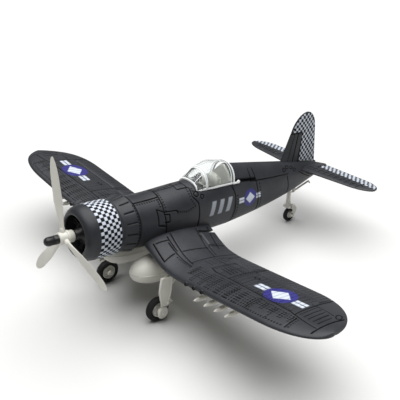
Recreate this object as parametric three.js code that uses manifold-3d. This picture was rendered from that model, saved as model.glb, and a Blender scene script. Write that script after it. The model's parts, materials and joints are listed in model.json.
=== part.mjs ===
// A gull-winged naval fighter as a snap-together display model, built as separate moulded pieces.
// Design axes: +X to the left wing tip, +Y to the tail, +Z up. Y = 0 is the spinner's tip and Z = 0 the
// thrust line. The whole model is then pitched nose up so that its three wheels stand on Z = 0.
import * as THREE from "three";
import { mergeVertices } from "three/addons/utils/BufferGeometryUtils.js";
import Module from "manifold-3d";

const wasm = await Module();
wasm.setup();

// ---------- Driving dimensions, millimetres ----------
const GAP = 0.3; // between pieces that touch or move past each other
const WALL = 1.2; // moulded shell thickness
const TAU = 2 * Math.PI;

const PROP = { y: 10.7, radius: 41.1, hubRadius: 3.2, hubFront: 7.6, hubRear: 16.2, phase: -16 };
const BLADE = {
  shankChord: 2.3, chord: 7, fullShare: 0.45, tipShare: 0.72, shankThick: 2.2, thick: 0.75,
  rootTwist: 16, tipTwist: 2,
};
const SPINNER = { length: 8.4, radius: 2.4, overlap: 1.2, plug: 1.6 };
const COWL = { front: 17, rear: 37.4, lip: 10.2, radius: 14.9, wall: 1.1, bow: 7 };
const FLAPS_RING = { front: 37.8, rear: 45.6, flare: 1.5, wall: 0.9 };
const SHAFT = { radius: 1.2, rear: 40.5 };
const ENGINE = { front: 22.5, rear: 34, core: 6.2, cylinders: 9, ring: 12.4, bore: 2.1, row: 25.65 };
const GEARBOX = { front: 16.8, rear: 22.2, noseRadius: 2.6, baseRadius: 5.4 };
const FIREWALL = { front: 36, rear: 38.6, radius: 12.9 };
const COLLAR = { front: 39, rear: 40.6, radius: 3 };

// Fuselage stations: distance aft, half width, top, bottom, height of greatest width, top shape exponent.
const NOSE_STATIONS = [
  [43.2, 14.0, 14.0, -14.4, 0, 2.0],
  [60, 13.9, 13.9, -15.9, 0, 2.0],
  [84, 13.4, 15.3, -17.4, 0, 2.05],
  [116.6, 12.5, 15.9, -16.6, 0, 2.1],
];
const TAIL_STATIONS = [
  [117, 12.5, 21.8, -16.6, 0, 1.55],
  [140, 10.9, 18.5, -14.0, 0, 1.6],
  [160, 8.8, 15.5, -11.0, 0.6, 1.75],
  [180, 6.4, 12.6, -7.0, 2.2, 1.9],
  [198, 3.8, 9.4, -1.8, 3.8, 2.0],
  [213.8, 1.0, 5.0, 2.6, 4.0, 2.0],
];
const LOFT_STATIONS = [56, 70, 84, 100, 116.6, 117, 128, 140, 150, 160, 170, 180, 190, 198, 206];
const BELLY_EXPONENT = 2.1;
const BULKHEAD = 117; // where the raised spine starts behind the cockpit

const SEAT = { half: 3.6, front: 104, back: 112, foot: 3, pan: 6.6, arm: 9, head: 13.4 };
const BELLY = { front: 55, rear: 98, halfWidth: 7.4, top: -11 };
const COCKPIT = { front: 92, rear: 115, halfWidth: 8.2, floor: 1.5, sill: 11, wall: 0.9 };
const CANOPY = {
  front: 90, split: 97, rear: 118, base: 12, halfWidth: 9.3, wall: 0.7, travel: 13,
  peakY: 105, noseTop: 16.2, peakTop: 25.4, rearTop: 22.9, noseWidth: 0.86,
};

const WING = {
  root: 2, rootX: 12, bend: 30.8, tip: 130, rounding: 31.5, roundness: 2.2, pivot: 0.38, blend: 5,
  leadRoot: 52.6, leadBend: 51.8, leadTip: 49.4, trailRoot: 99.2, trailBend: 96.8, trailTip: 91,
  levelRoot: -10.1, levelBend: -17.5, levelTip: -4.4,
  thickRoot: 8.2, thickBend: 7.8, thickTip: 4.4, camber: 0.7, edge: 0.5,
};
const HINGE_SHARE = 0.78; // wing hinge lines, as a share of the chord
const FLAP_INNER = { from: 15.4, to: 26.4 };
const FLAP_OUTER = { from: 43, to: 62 };
const AILERON = { from: 65, to: 108 };
const LOWER_PANEL = { from: 15, to: 98, lead: 0.08, trail: 0.7, below: 0.5 };
const SPAR = { y: 74, depth: 7, height: 1.6, reach: 16.6 };

const STAB = {
  root: 2.4, tip: 53, rounding: 14.3, level: 7.4, leadRoot: 182.2, leadTip: 189.2, trail: 205.8,
  thickRoot: 2.6, thickTip: 1.8, pivot: 0.45, hingeY: 196.4, elevatorFrom: 8, noseEnd: 47,
};
const FIN = {
  root: 7, top: 44.8, leadRoot: 163.6, leadTop: 178, trailRoot: 200.6, trailTop: 194,
  rounding: 10, thickRoot: 2.7, thickTop: 1.7, pivot: 0.55, hingeY: 184.4, notch: 32.4, rudderFrom: 12.7,
};
const TIP_EXPONENT = 2.2; // roundness of the tail surfaces' tips
const TAIL_EDGE = 0.3; // half thickness added at their trailing edges
const SWING_ROOM = 0.7; // ahead of a moving surface where it has no rounded nose

const WHEEL = { x: 24.4, y: 54.2, z: -43.3, radius: 7.1, width: 4.2, hub: 4.1 };
const TAIL_WHEEL = { y: 182.6, z: -25.9, radius: 4.8, width: 2.8, hub: 2.4 };
const LEG = { x: 27.9, topY: 57.5, topZ: -19.6, radius: 1.25, kneeShare: 0.45 };
const AXLE = { radius: 0.8, cap: 3.4, eyeHalf: 0.9, capDepth: 1.1 };
const TAIL_AXLE = { radius: 0.5, head: 1 };
const TAIL_POST = { footY: 180.4, footZ: -20, headY: 179, headZ: -0.5, radius: 1.4 };
const HOOK = { front: 182.4, rear: 198, frontZ: -10, rearZ: -5, radius: 0.6 };
const TANK = { x: 13.2, y: 65.7, z: -24.7, radius: 8.2, length: 44, ridge: 0.35 };
const TANK_POST = { half: 1.2, front: 60, rear: 71, top: -15.1 };
const ROCKET = { first: 57.4, pitch: 7.4, count: 4, nose: 49.6, length: 27, radius: 1.25, drop: 6 };
const ROCKET_POSTS = [57, 70]; // fore and aft places of the two posts that carry each rocket

const HINGE_CLEARANCE = 0.4; // round the nose of each moving surface
const STUB = { radius: 0.4, length: 0.9 }; // pivot stubs on the ends of a moving surface

// Nose-up angle at which all three tyres touch the ground.
const RUN = TAIL_WHEEL.y - WHEEL.y;
const RISE = TAIL_WHEEL.z - WHEEL.z;
const PITCH = Math.asin((WHEEL.radius - TAIL_WHEEL.radius) / Math.hypot(RUN, RISE)) + Math.atan2(RISE, RUN);

// ---------- Small helpers ----------
const vec = (x, y, z) => new THREE.Vector3(x, y, z);
const mix = (a, b, t) => a + (b - a) * t;
const clamp01 = (t) => Math.min(1, Math.max(0, t));
const signedPower = (value, power) => Math.sign(value) * Math.abs(value) ** power;

// A closed geometry as a manifold solid with its faces pointing out.
function solid(geometry) {
  const bare = geometry.clone();
  for (const name of Object.keys(bare.attributes)) {
    if (name !== "position") bare.deleteAttribute(name);
  }
  const merged = mergeVertices(bare, 1e-4);
  const made = new wasm.Manifold(
    new wasm.Mesh({
      numProp: 3,
      vertProperties: merged.attributes.position.array,
      triVerts: new Uint32Array(merged.index.array),
    }),
  );
  if (made.volume() > 0) return made;
  const flipped = merged.index.array.slice();
  for (let i = 0; i < flipped.length; i += 3) {
    [flipped[i + 1], flipped[i + 2]] = [flipped[i + 2], flipped[i + 1]];
  }
  return new wasm.Manifold(
    new wasm.Mesh({
      numProp: 3,
      vertProperties: merged.attributes.position.array,
      triVerts: new Uint32Array(flipped),
    }),
  );
}

// The largest connected body of a solid, as a geometry: booleans can leave slivers beside it.
function geometryOf(made) {
  const bodies = made.decompose();
  const main = bodies.reduce((best, body) => (body.volume() > best.volume() ? body : best));
  const mesh = main.getMesh();
  const geometry = new THREE.BufferGeometry();
  geometry.setAttribute("position", new THREE.BufferAttribute(new Float32Array(mesh.vertProperties), 3));
  geometry.setIndex(new THREE.BufferAttribute(new Uint32Array(mesh.triVerts), 1));
  geometry.computeVertexNormals();
  return geometry;
}

// Closed solid through rings of equal point count, each end closed by a fan about its centre.
function loft(rings) {
  const count = rings[0].length;
  const points = rings.flat();
  const faces = [];
  for (let i = 0; i + 1 < rings.length; i += 1) {
    for (let j = 0; j < count; j += 1) {
      const a = i * count + j;
      const b = i * count + ((j + 1) % count);
      faces.push(a, b, b + count, a, b + count, a + count);
    }
  }
  for (const [ring, reverse] of [[0, true], [rings.length - 1, false]]) {
    const centre = vec(0, 0, 0);
    rings[ring].forEach((point) => centre.addScaledVector(point, 1 / count));
    points.push(centre);
    for (let j = 0; j < count; j += 1) {
      const a = ring * count + j;
      const b = ring * count + ((j + 1) % count);
      faces.push(points.length - 1, reverse ? b : a, reverse ? a : b);
    }
  }
  const geometry = new THREE.BufferGeometry().setFromPoints(points);
  geometry.setIndex(faces);
  return solid(geometry);
}

function box(xRange, yRange, zRange) {
  const size = [xRange, yRange, zRange].map(([low, high]) => high - low);
  const middle = [xRange, yRange, zRange].map(([low, high]) => (low + high) / 2);
  return solid(new THREE.BoxGeometry(...size).translate(...middle));
}

// Round bar between two points; the end radii may differ.
function rod(from, to, radiusFrom, radiusTo = radiusFrom, sides = 12) {
  const along = to.clone().sub(from);
  const geometry = new THREE.CylinderGeometry(radiusTo, radiusFrom, along.length(), sides);
  geometry.translate(0, along.length() / 2, 0);
  const turn = new THREE.Quaternion().setFromUnitVectors(vec(0, 1, 0), along.normalize());
  geometry.applyQuaternion(turn);
  return solid(geometry.translate(from.x, from.y, from.z));
}

// Solid of revolution about the design Y axis, moved to x, z. The outline is [radius, y] pairs.
function turned(outline, sides = 24, x = 0, z = 0) {
  const points = outline.map(([radius, y]) => new THREE.Vector2(radius, y));
  return solid(new THREE.LatheGeometry(points, sides).translate(x, 0, z));
}

// Solid of revolution about an axis along X, with one side of its polygon flat on the ground.
function wheelTurned(outline, centre, sides) {
  const points = outline.map(([radius, across]) => new THREE.Vector2(radius, across));
  const geometry = new THREE.LatheGeometry(points, sides, PITCH - Math.PI / sides).rotateZ(-Math.PI / 2);
  return solid(geometry.translate(centre.x, centre.y, centre.z));
}

const mirrored = (made) => made.mirror([1, 0, 0]);

// ---------- Fuselage ----------
// Value of one column of a station table at a distance aft, on a smooth curve through the stations.
function alongStations(table, column, y) {
  const last = table.length - 1;
  let i = 0;
  while (i < last - 1 && y > table[i + 1][0]) i += 1;
  const slope = (k) => {
    const low = Math.max(k - 1, 0);
    const high = Math.min(k + 1, last);
    return (table[high][column] - table[low][column]) / (table[high][0] - table[low][0]);
  };
  const span = table[i + 1][0] - table[i][0];
  const t = clamp01((y - table[i][0]) / span);
  const [t2, t3] = [t * t, t * t * t];
  return (2 * t3 - 3 * t2 + 1) * table[i][column] + (t3 - 2 * t2 + t) * span * slope(i)
    + (3 * t2 - 2 * t3) * table[i + 1][column] + (t3 - t2) * span * slope(i + 1);
}

function fuselageSection(y) {
  const table = y < BULKHEAD ? NOSE_STATIONS : TAIL_STATIONS;
  const [half, top, bottom, middle, exponent] = [1, 2, 3, 4, 5].map((c) => alongStations(table, c, y));
  return { half, top, bottom, middle, exponent };
}

function fuselageRing(y, grow, count) {
  const s = fuselageSection(y);
  return Array.from({ length: count }, (_, i) => {
    const angle = (i / count) * TAU;
    const upper = Math.sin(angle) > 0;
    const power = 2 / (upper ? s.exponent : BELLY_EXPONENT);
    const height = upper ? s.top - s.middle : s.middle - s.bottom;
    return vec(
      (s.half + grow) * signedPower(Math.cos(angle), power),
      y,
      s.middle + (height + grow) * signedPower(Math.sin(angle), power),
    );
  });
}

function fuselageLoft(grow, count = 24, from = NOSE_STATIONS[0][0], to = TAIL_STATIONS.at(-1)[0]) {
  const stations = LOFT_STATIONS.filter((y) => y > from && y < to);
  return loft([from, ...stations, to].map((y) => fuselageRing(y, grow, count)));
}

const fuselageOuter = fuselageLoft(0);
const fuselageClear = fuselageLoft(GAP);
const fuselageInner = fuselageLoft(-WALL, 16, 44.6, 204);

function cockpitOpening() {
  const { front, rear, halfWidth, sill } = COCKPIT;
  return box([-halfWidth, halfWidth], [front, rear], [sill - 6, 40]);
}

function sparBox(grow, reach) {
  return box(
    [-reach, reach],
    [SPAR.y - SPAR.depth - grow, SPAR.y + SPAR.depth + grow],
    [WING.levelRoot - SPAR.height - grow, WING.levelRoot + SPAR.height + grow],
  );
}

function bellyBox(shrink) {
  const { front, rear, halfWidth, top } = BELLY;
  return box([-halfWidth + shrink, halfWidth - shrink], [front + shrink, rear - shrink], [-40, top - shrink]);
}

function tailPostHole() {
  const { footY, footZ, headY, radius } = TAIL_POST;
  return rod(vec(0, footY, footZ), vec(0, headY, 4), radius + GAP);
}

function fuselageHalf() {
  const side = box([0.15, 60], [0, 300], [-100, 100]);
  return fuselageOuter
    .intersect(side)
    .subtract(fuselageInner)
    .subtract(cockpitOpening())
    .subtract(sparBox(GAP, 40))
    .subtract(bellyBox(0))
    .subtract(tailPostHole())
    .subtract(hookPeg(GAP))
    .subtract(stubs(rudderHinge, HINGE_CLEARANCE, ["start"]))
    .subtract(canopyRail());
}

// Side rail on which the hood's lower edge slides, a shallow step along each shoulder.
function canopyRail() {
  const { halfWidth, base, rear, travel, split } = CANOPY;
  return box(
    [halfWidth - 1.3, halfWidth + 3],
    [split - 6, rear + travel + 1],
    [base - 0.6, base + 12],
  );
}

function bellyPanel() {
  const shell = fuselageOuter.subtract(fuselageLoft(-WALL, 16, 50, 104));
  return shell.intersect(bellyBox(GAP));
}

// ---------- Nose: cowling, engine and propeller ----------
const NOSE_SIDES = 28;

function cowling() {
  const { front, rear, lip, radius, wall, bow } = COWL;
  const edge = lip + wall * 0.6;
  const outline = [];
  const outerSteps = 5;
  for (let i = 0; i <= outerSteps; i += 1) {
    const angle = (i / outerSteps) * (Math.PI / 2);
    outline.push([edge + (radius - edge) * Math.sin(angle), front + bow * (1 - Math.cos(angle))]);
  }
  const inner = radius - wall;
  outline.push([radius, rear], [inner, rear], [inner, front + bow]);
  const innerSteps = 3;
  const innerBow = bow * 0.8;
  for (let i = 1; i <= innerSteps; i += 1) {
    const angle = (i / innerSteps) * (Math.PI / 2);
    outline.push([lip + (inner - lip) * Math.cos(angle), front + bow - innerBow * Math.sin(angle)]);
  }
  outline.push([lip, front + 0.5], outline[0]);
  return turned(outline, NOSE_SIDES);
}

function cowlFlapRing() {
  const { front, rear, flare, wall } = FLAPS_RING;
  const outer = COWL.radius;
  const outline = [
    [outer - wall, front],
    [outer, front],
    [outer + flare, rear],
    [outer + flare - wall, rear],
    [outer - wall, front],
  ];
  return turned(outline, NOSE_SIDES);
}

// The hole that the propeller shaft runs in.
function shaftHole(from = 0, to = 60) {
  const bore = SHAFT.radius + GAP;
  return rod(vec(0, from, 0), vec(0, to, 0), bore, bore, 12);
}

function radialEngine() {
  const { front, rear, core, cylinders, ring, bore, row } = ENGINE;
  let made = turned([[0, front], [core, front + 1], [core, rear], [0, rear]], 18);
  for (let i = 0; i < cylinders; i += 1) {
    const angle = (i / cylinders) * TAU;
    const out = vec(Math.sin(angle), 0, Math.cos(angle));
    const foot = out.clone().multiplyScalar(core - 1).add(vec(0, row, 0));
    const head = out.clone().multiplyScalar(ring).add(vec(0, row, 0));
    made = made.add(rod(foot, head, bore, bore, 8));
  }
  return made.subtract(shaftHole());
}

function engineGearbox() {
  const { front, rear, noseRadius, baseRadius } = GEARBOX;
  const shoulder = [baseRadius - 0.2, rear - 0.8];
  const outline = [[0, front], [noseRadius, front], shoulder, [baseRadius, rear], [0, rear]];
  return turned(outline, 16).subtract(shaftHole());
}

function firewall() {
  const { front, rear, radius } = FIREWALL;
  return turned([[0, front], [radius, front], [radius, rear], [0, rear]], 20).subtract(shaftHole());
}

// One blade, root to tip: chord, thickness and twist change along the radius.
function blade() {
  const { shankChord, chord: fullChord, fullShare, tipShare, shankThick, thick } = BLADE;
  const rings = [];
  const steps = 7;
  const count = 8;
  for (let i = 0; i <= steps; i += 1) {
    const t = i / steps;
    const radius = mix(PROP.hubRadius - 1.2, PROP.radius, Math.sin((t * Math.PI) / 2));
    const share = radius / PROP.radius;
    const past = Math.max(0, (share - tipShare) / (1.001 - tipShare));
    const round = Math.sqrt(Math.max(1 - past ** 2, 0.02));
    const chord = mix(shankChord, fullChord, Math.min(1, (share / fullShare) ** 1.4)) * round;
    const thickness = mix(shankThick, thick, Math.min(1, share * 1.5)) * mix(0.4, 1, round);
    const twist = THREE.MathUtils.degToRad(mix(BLADE.rootTwist, BLADE.tipTwist, share));
    rings.push(Array.from({ length: count }, (_, k) => {
      const angle = (k / count) * TAU;
      const across = (chord / 2) * Math.cos(angle);
      const through = (thickness / 2) * Math.sin(angle);
      return vec(
        across * Math.cos(twist) - through * Math.sin(twist),
        PROP.y + across * Math.sin(twist) + through * Math.cos(twist),
        radius,
      );
    }));
  }
  return loft(rings);
}

function propeller() {
  const { hubRadius, hubFront, hubRear, phase } = PROP;
  let made = turned([
    [0, hubFront], [hubRadius - 0.6, hubFront], [hubRadius, hubFront + 0.8],
    [hubRadius, hubRear - 0.6], [hubRadius - 0.5, hubRear], [0, hubRear],
  ], 14);
  for (let i = 0; i < 3; i += 1) {
    made = made.add(blade().rotate([0, phase + i * 120, 0]));
  }
  const plugBore = SPINNER.plug + GAP;
  const plugHole = rod(vec(0, 0, 0), vec(0, hubFront + SPINNER.overlap + GAP, 0), plugBore, plugBore, 16);
  return made.subtract(shaftHole(PROP.y + 1, 30)).subtract(plugHole);
}

function spinnerCap() {
  const { length, radius, overlap, plug } = SPINNER;
  const outline = [[0, 0]];
  const steps = 4;
  const dome = length - 3;
  const back = PROP.hubFront - GAP;
  for (let i = 1; i <= steps; i += 1) {
    const angle = (i / steps) * (Math.PI / 2);
    outline.push([radius * Math.sin(angle), dome * (1 - Math.cos(angle))]);
  }
  outline.push([radius, back], [plug, back], [plug, back + overlap], [0, back + overlap]);
  return turned(outline, 14);
}

function propellerShaft() {
  return rod(vec(0, PROP.y + 1 + GAP, 0), vec(0, SHAFT.rear, 0), SHAFT.radius, SHAFT.radius, 16);
}

function shaftCollar() {
  const { front, rear, radius } = COLLAR;
  const bore = SHAFT.radius + GAP;
  return turned([[bore, front], [radius, front], [radius, rear], [bore, rear], [bore, front]], 14);
}

// ---------- Cockpit and canopy ----------
function cockpitTub() {
  const { front, rear, halfWidth, floor, sill, wall } = COCKPIT;
  const outer = box([-halfWidth + GAP, halfWidth - GAP], [front + GAP, rear - GAP], [floor, sill]);
  const inset = GAP + wall;
  const room = box([-halfWidth + inset, halfWidth - inset], [front + inset, rear - inset], [floor + 1, 40]);
  return outer.subtract(room);
}

// Bucket seat with a round head plate.
function pilotSeat() {
  const { half, front, back, foot, pan, arm, head } = SEAT;
  const panel = box([-half, half], [back - 0.8, back + 0.8], [foot, head]);
  const disc = [[0, back - 0.8], [half, back - 0.8], [half, back + 0.8], [0, back + 0.8]];
  const plate = turned(disc, 20, 0, head);
  let made = box([-half, half], [front, back], [foot, pan]).add(panel).add(plate);
  for (const side of [-1, 1]) {
    made = made.add(box([side * half - 0.4, side * half + 0.4], [front + 1, back], [foot, arm]));
  }
  return made;
}

function instrumentPanel() {
  const front = COCKPIT.front + 1.6;
  const panel = box([-6.6, 6.6], [front, front + 1.3], [COCKPIT.floor + 1.5, 12.6]);
  const coaming = rod(vec(0, front, 12.6), vec(0, front + 3, 12.6), 3.2, 3.2, 16);
  const sightPost = box([-0.5, 0.5], [front + 0.3, front + 1.1], [12, 17.4]);
  const sightGlass = box([-1.3, 1.3], [front + 0.35, front + 1.05], [16.6, 18.4]);
  return panel.add(coaming).add(sightPost).add(sightGlass);
}

function controlStick() {
  const column = rod(vec(0, 101, 2.8), vec(0, 99.8, 9), 0.5, 0.5, 6);
  const grip = rod(vec(0, 99.9, 8.4), vec(0, 99.2, 10.6), 0.75, 0.65, 6);
  const foot = rod(vec(0, 101, 2.8), vec(0, 101, 3.6), 1.6, 1.1, 10);
  return column.add(grip).add(foot);
}

// Height and half width of the canopy arch at a distance aft.
function canopyArch(y) {
  const { front, split, rear, halfWidth, peakY, noseTop, peakTop, rearTop, noseWidth } = CANOPY;
  const rise = Math.sin(clamp01((y - front) / (peakY - front)) * (Math.PI / 2)) ** 0.95;
  const fall = clamp01((y - peakY) / (rear - peakY)) ** 1.7;
  const top = y < peakY ? mix(noseTop, peakTop, rise) : mix(peakTop, rearTop, fall);
  const spread = Math.sin(clamp01((y - front) / (split + 6 - front)) * (Math.PI / 2));
  return { top, width: halfWidth * mix(noseWidth, 1, spread) };
}

function canopyRing(y, inset, bottom) {
  const { top, width } = canopyArch(y);
  const count = 12;
  const ring = [];
  for (let i = 0; i <= count; i += 1) {
    const angle = (i / count) * Math.PI;
    ring.push(vec(
      (width - inset) * signedPower(Math.cos(angle), 0.92),
      y,
      bottom + (top - inset - bottom) * signedPower(Math.sin(angle), 0.86),
    ));
  }
  return ring;
}

function canopyShell(from, to) {
  const { base, wall } = CANOPY;
  const steps = 5;
  const ys = Array.from({ length: steps + 1 }, (_, i) => mix(from, to, i / steps));
  const outer = loft(ys.map((y) => canopyRing(y, 0, base)));
  const past = [from - 1, ...ys.slice(1, -1), to + 1];
  const inner = loft(past.map((y, i) => canopyRing(ys[i], wall, base - 1).map((p) => p.setY(y))));
  return outer.subtract(inner);
}

function windscreen() {
  return canopyShell(CANOPY.front, CANOPY.split).subtract(fuselageClear);
}

function canopyHood() {
  const { split, rear, base } = CANOPY;
  return canopyShell(split + GAP, rear).subtract(box([-20, 20], [split, rear + 1], [base - 5, base]));
}

// ---------- Wing ----------
const acrossSpan = (x, root, bend, tip) => (x < WING.bend
  ? mix(root, bend, (x - WING.rootX) / (WING.bend - WING.rootX))
  : mix(bend, tip, (x - WING.bend) / (WING.tip - WING.bend)));

// Height of the chord plane: two straight slopes joined by a rounded bend.
function wingLevel(x) {
  const inner = (WING.levelBend - WING.levelRoot) / (WING.bend - WING.rootX);
  const outer = (WING.levelTip - WING.levelBend) / (WING.tip - WING.bend);
  const past = (x - WING.bend) / WING.blend;
  return WING.levelBend + inner * (x - WING.bend)
    + (outer - inner) * WING.blend * (Math.max(past, 0) + Math.log1p(Math.exp(-Math.abs(past))));
}

function wingChord(x) {
  const lead = acrossSpan(x, WING.leadRoot, WING.leadBend, WING.leadTip);
  const trail = acrossSpan(x, WING.trailRoot, WING.trailBend, WING.trailTip);
  const past = clamp01((x - (WING.tip - WING.rounding)) / WING.rounding);
  const keep = Math.max(1 - past ** WING.roundness, 0) ** (1 / WING.roundness);
  const pivot = mix(lead, trail, WING.pivot);
  const thick = acrossSpan(x, WING.thickRoot, WING.thickBend, WING.thickTip) * mix(0.3, 1, keep);
  return { lead: mix(pivot, lead, keep), trail: mix(pivot, trail, keep), thick };
}

// Half thickness of a section, as a share of its greatest thickness, at a share of the chord.
function foil(share) {
  const s = clamp01(share);
  return 5 * (0.2969 * Math.sqrt(s) - 0.126 * s - 0.3516 * s ** 2 + 0.2843 * s ** 3 - 0.1036 * s ** 4);
}

function wingPoint(x, share, side) {
  const { lead, trail, thick } = wingChord(x);
  const half = foil(share) * thick + 0.5 * WING.edge * share;
  const lift = 4 * WING.camber * share * (1 - share);
  return vec(x, mix(lead, trail, share), wingLevel(x) + lift + side * half);
}

const SECTION_STEPS = 7;

// Places along a span that close up towards a rounded tip, stopping just short of it.
function roundedSteps(tip, rounding, steps) {
  const nearlyAll = 0.985;
  return Array.from({ length: steps + 1 }, (_, i) => (
    tip - rounding + rounding * Math.sin((i / steps) * (Math.PI / 2) * nearlyAll)
  ));
}

function wingRing(x) {
  const ring = [];
  const share = (i) => (1 - Math.cos((i / SECTION_STEPS) * Math.PI)) / 2;
  for (let i = SECTION_STEPS; i >= 0; i -= 1) ring.push(wingPoint(x, share(i), 1));
  for (let i = 1; i <= SECTION_STEPS; i += 1) ring.push(wingPoint(x, share(i), -1));
  return ring;
}

function wingLoft() {
  const straight = [WING.root, WING.rootX, 20, 25, 29, 33, 38, 46, 72];
  return loft([...straight, ...roundedSteps(WING.tip, WING.rounding, 6)].map(wingRing));
}

// A straight hinge across a lofted surface and the region behind it.
function hingeLine(start, end, radiusStart, radiusEnd, aftHint) {
  const along = end.clone().sub(start);
  const length = along.length();
  along.normalize();
  const aft = aftHint.clone().addScaledVector(along, -aftHint.dot(along)).normalize();
  const normal = new THREE.Vector3().crossVectors(along, aft);
  return { start, end, along, aft, normal, length, radiusStart, radiusEnd };
}

function regionBehind(hinge, grow) {
  const depth = 80;
  const geometry = new THREE.BoxGeometry(hinge.length + 2 * grow, depth, 30);
  geometry.translate(hinge.length / 2, depth / 2, 0);
  const frame = new THREE.Matrix4().makeBasis(hinge.along, hinge.aft, hinge.normal);
  geometry.applyMatrix4(frame.setPosition(hinge.start));
  return solid(geometry);
}

function hingeNose(hinge, grow) {
  const { start, end, along, radiusStart, radiusEnd } = hinge;
  return rod(
    start.clone().addScaledVector(along, -grow),
    end.clone().addScaledVector(along, grow),
    radiusStart + grow,
    radiusEnd + grow,
    12,
  );
}

// The pivot stubs, or with grow the sockets they turn in.
function stubs(hinge, grow, ends) {
  const overlap = 0.5;
  const outward = STUB.length + grow;
  const pieces = ends.map((end) => {
    const out = end === "start" ? -1 : 1;
    const from = hinge[end].clone().addScaledVector(hinge.along, -out * overlap);
    const to = hinge[end].clone().addScaledVector(hinge.along, out * outward);
    return rod(from, to, STUB.radius + grow, STUB.radius + grow, 6);
  });
  return pieces.reduce((a, b) => a.add(b));
}

function movingSurface(whole, hinge, ends) {
  return whole
    .intersect(regionBehind(hinge, 0))
    .add(hingeNose(hinge, 0))
    .add(stubs(hinge, 0, ends));
}

function cutForSurface(whole, hinge, ends) {
  return whole
    .subtract(regionBehind(hinge, HINGE_CLEARANCE))
    .subtract(hingeNose(hinge, HINGE_CLEARANCE))
    .subtract(stubs(hinge, HINGE_CLEARANCE, ends));
}

function wingHinge({ from, to }) {
  const inset = 0.08; // keeps the nose just inside the skin
  const at = (x) => wingPoint(x, HINGE_SHARE, 0);
  const radius = (x) => {
    const { thick } = wingChord(x);
    return foil(HINGE_SHARE) * thick + 0.5 * WING.edge * HINGE_SHARE - inset;
  };
  return hingeLine(at(from), at(to), radius(from), radius(to), vec(0, 1, 0));
}

const wingHinges = {
  flap_inner: wingHinge(FLAP_INNER),
  flap_outer: wingHinge(FLAP_OUTER),
  aileron: wingHinge(AILERON),
};

// Slab below the chord plane that the white lower panel fills, following the gull bend.
function lowerSlab(shrink) {
  const { from, to, lead, trail, below } = LOWER_PANEL;
  const xs = [from + shrink, 20, 25, 29, 33, 38, 46, 72, to - shrink];
  return loft(xs.map((x) => {
    const chord = wingChord(x);
    const front = mix(chord.lead, chord.trail, lead) + shrink;
    const rear = mix(chord.lead, chord.trail, trail) - shrink;
    const top = wingLevel(x) - below - shrink;
    return [vec(x, front, top), vec(x, rear, top), vec(x, rear, top - 14), vec(x, front, top - 14)];
  }));
}

const wingWhole = wingLoft().subtract(fuselageClear);

function wingUpper() {
  let made = wingWhole.subtract(lowerSlab(0)).subtract(sparBox(GAP, SPAR.reach));
  for (const hinge of Object.values(wingHinges)) made = cutForSurface(made, hinge, ["start", "end"]);
  return made;
}

function wingLower() {
  let made = wingWhole.intersect(lowerSlab(GAP)).subtract(sparBox(GAP, SPAR.reach));
  made = made.subtract(rod(legTop(), legTop(3), LEG.radius + GAP, LEG.radius + GAP, 12));
  for (let i = 0; i < ROCKET.count; i += 1) {
    for (const y of ROCKET_POSTS) made = made.subtract(rocketPost(i, y, GAP, 0));
  }
  return made;
}

function wingSpar() {
  return sparBox(0, SPAR.reach - GAP);
}

// ---------- Tail surfaces ----------
function surfaceRing(lead, trail, thick, place) {
  const ring = [];
  const steps = 5;
  const share = (i) => (1 - Math.cos((i / steps) * Math.PI)) / 2;
  const half = (s) => foil(s) * thick + TAIL_EDGE * s;
  for (let i = steps; i >= 0; i -= 1) ring.push(place(mix(lead, trail, share(i)), half(share(i))));
  for (let i = 1; i <= steps; i += 1) ring.push(place(mix(lead, trail, share(i)), -half(share(i))));
  return ring;
}

// Share of the chord kept at a distance from a rounded tip.
function tipKeep(distance, rounding) {
  const past = clamp01(1 - distance / rounding);
  return Math.max(1 - past ** TIP_EXPONENT, 0) ** (1 / TIP_EXPONENT);
}

function stabWhole() {
  const xs = [STAB.root, 20, ...roundedSteps(STAB.tip, STAB.rounding, 5)];
  return loft(xs.map((x) => {
    const t = x / STAB.tip;
    const keep = tipKeep(STAB.tip - x, STAB.rounding);
    const lead = mix(STAB.leadRoot, STAB.leadTip, t);
    const pivot = mix(lead, STAB.trail, STAB.pivot);
    const thick = mix(STAB.thickRoot, STAB.thickTip, t) * mix(0.4, 1, keep);
    return surfaceRing(mix(pivot, lead, keep), mix(pivot, STAB.trail, keep), thick,
      (y, z) => vec(x, y, STAB.level + z));
  })).subtract(fuselageClear);
}

function finWhole() {
  const zs = [FIN.root, 20, ...roundedSteps(FIN.top, FIN.rounding, 5)];
  return loft(zs.map((z) => {
    const t = (z - FIN.root) / (FIN.top - FIN.root);
    const keep = tipKeep(FIN.top - z, FIN.rounding);
    const lead = mix(FIN.leadRoot, FIN.leadTop, t);
    const trail = mix(FIN.trailRoot, FIN.trailTop, t);
    const pivot = mix(lead, trail, FIN.pivot);
    const thick = mix(FIN.thickRoot, FIN.thickTop, t) * mix(0.4, 1, keep);
    return surfaceRing(mix(pivot, lead, keep), mix(pivot, trail, keep), thick, (y, x) => vec(x, y, z));
  })).subtract(fuselageClear);
}

const elevatorHinge = hingeLine(
  vec(STAB.elevatorFrom, STAB.hingeY, STAB.level),
  vec(STAB.noseEnd, STAB.hingeY, STAB.level),
  1.0, 0.55, vec(0, 1, 0),
);
const rudderHinge = hingeLine(
  vec(0, FIN.hingeY, FIN.rudderFrom),
  vec(0, FIN.hingeY, FIN.notch - HINGE_CLEARANCE),
  1.15, 0.95, vec(0, 1, 0),
);

// Everything behind the elevator hinge, out past the tip.
const elevatorRegion = { ...elevatorHinge, length: STAB.tip };

function elevator() {
  return stabWhole()
    .intersect(regionBehind(elevatorRegion, 0))
    .add(hingeNose(elevatorHinge, 0))
    .add(stubs(elevatorHinge, 0, ["start"]));
}

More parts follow.
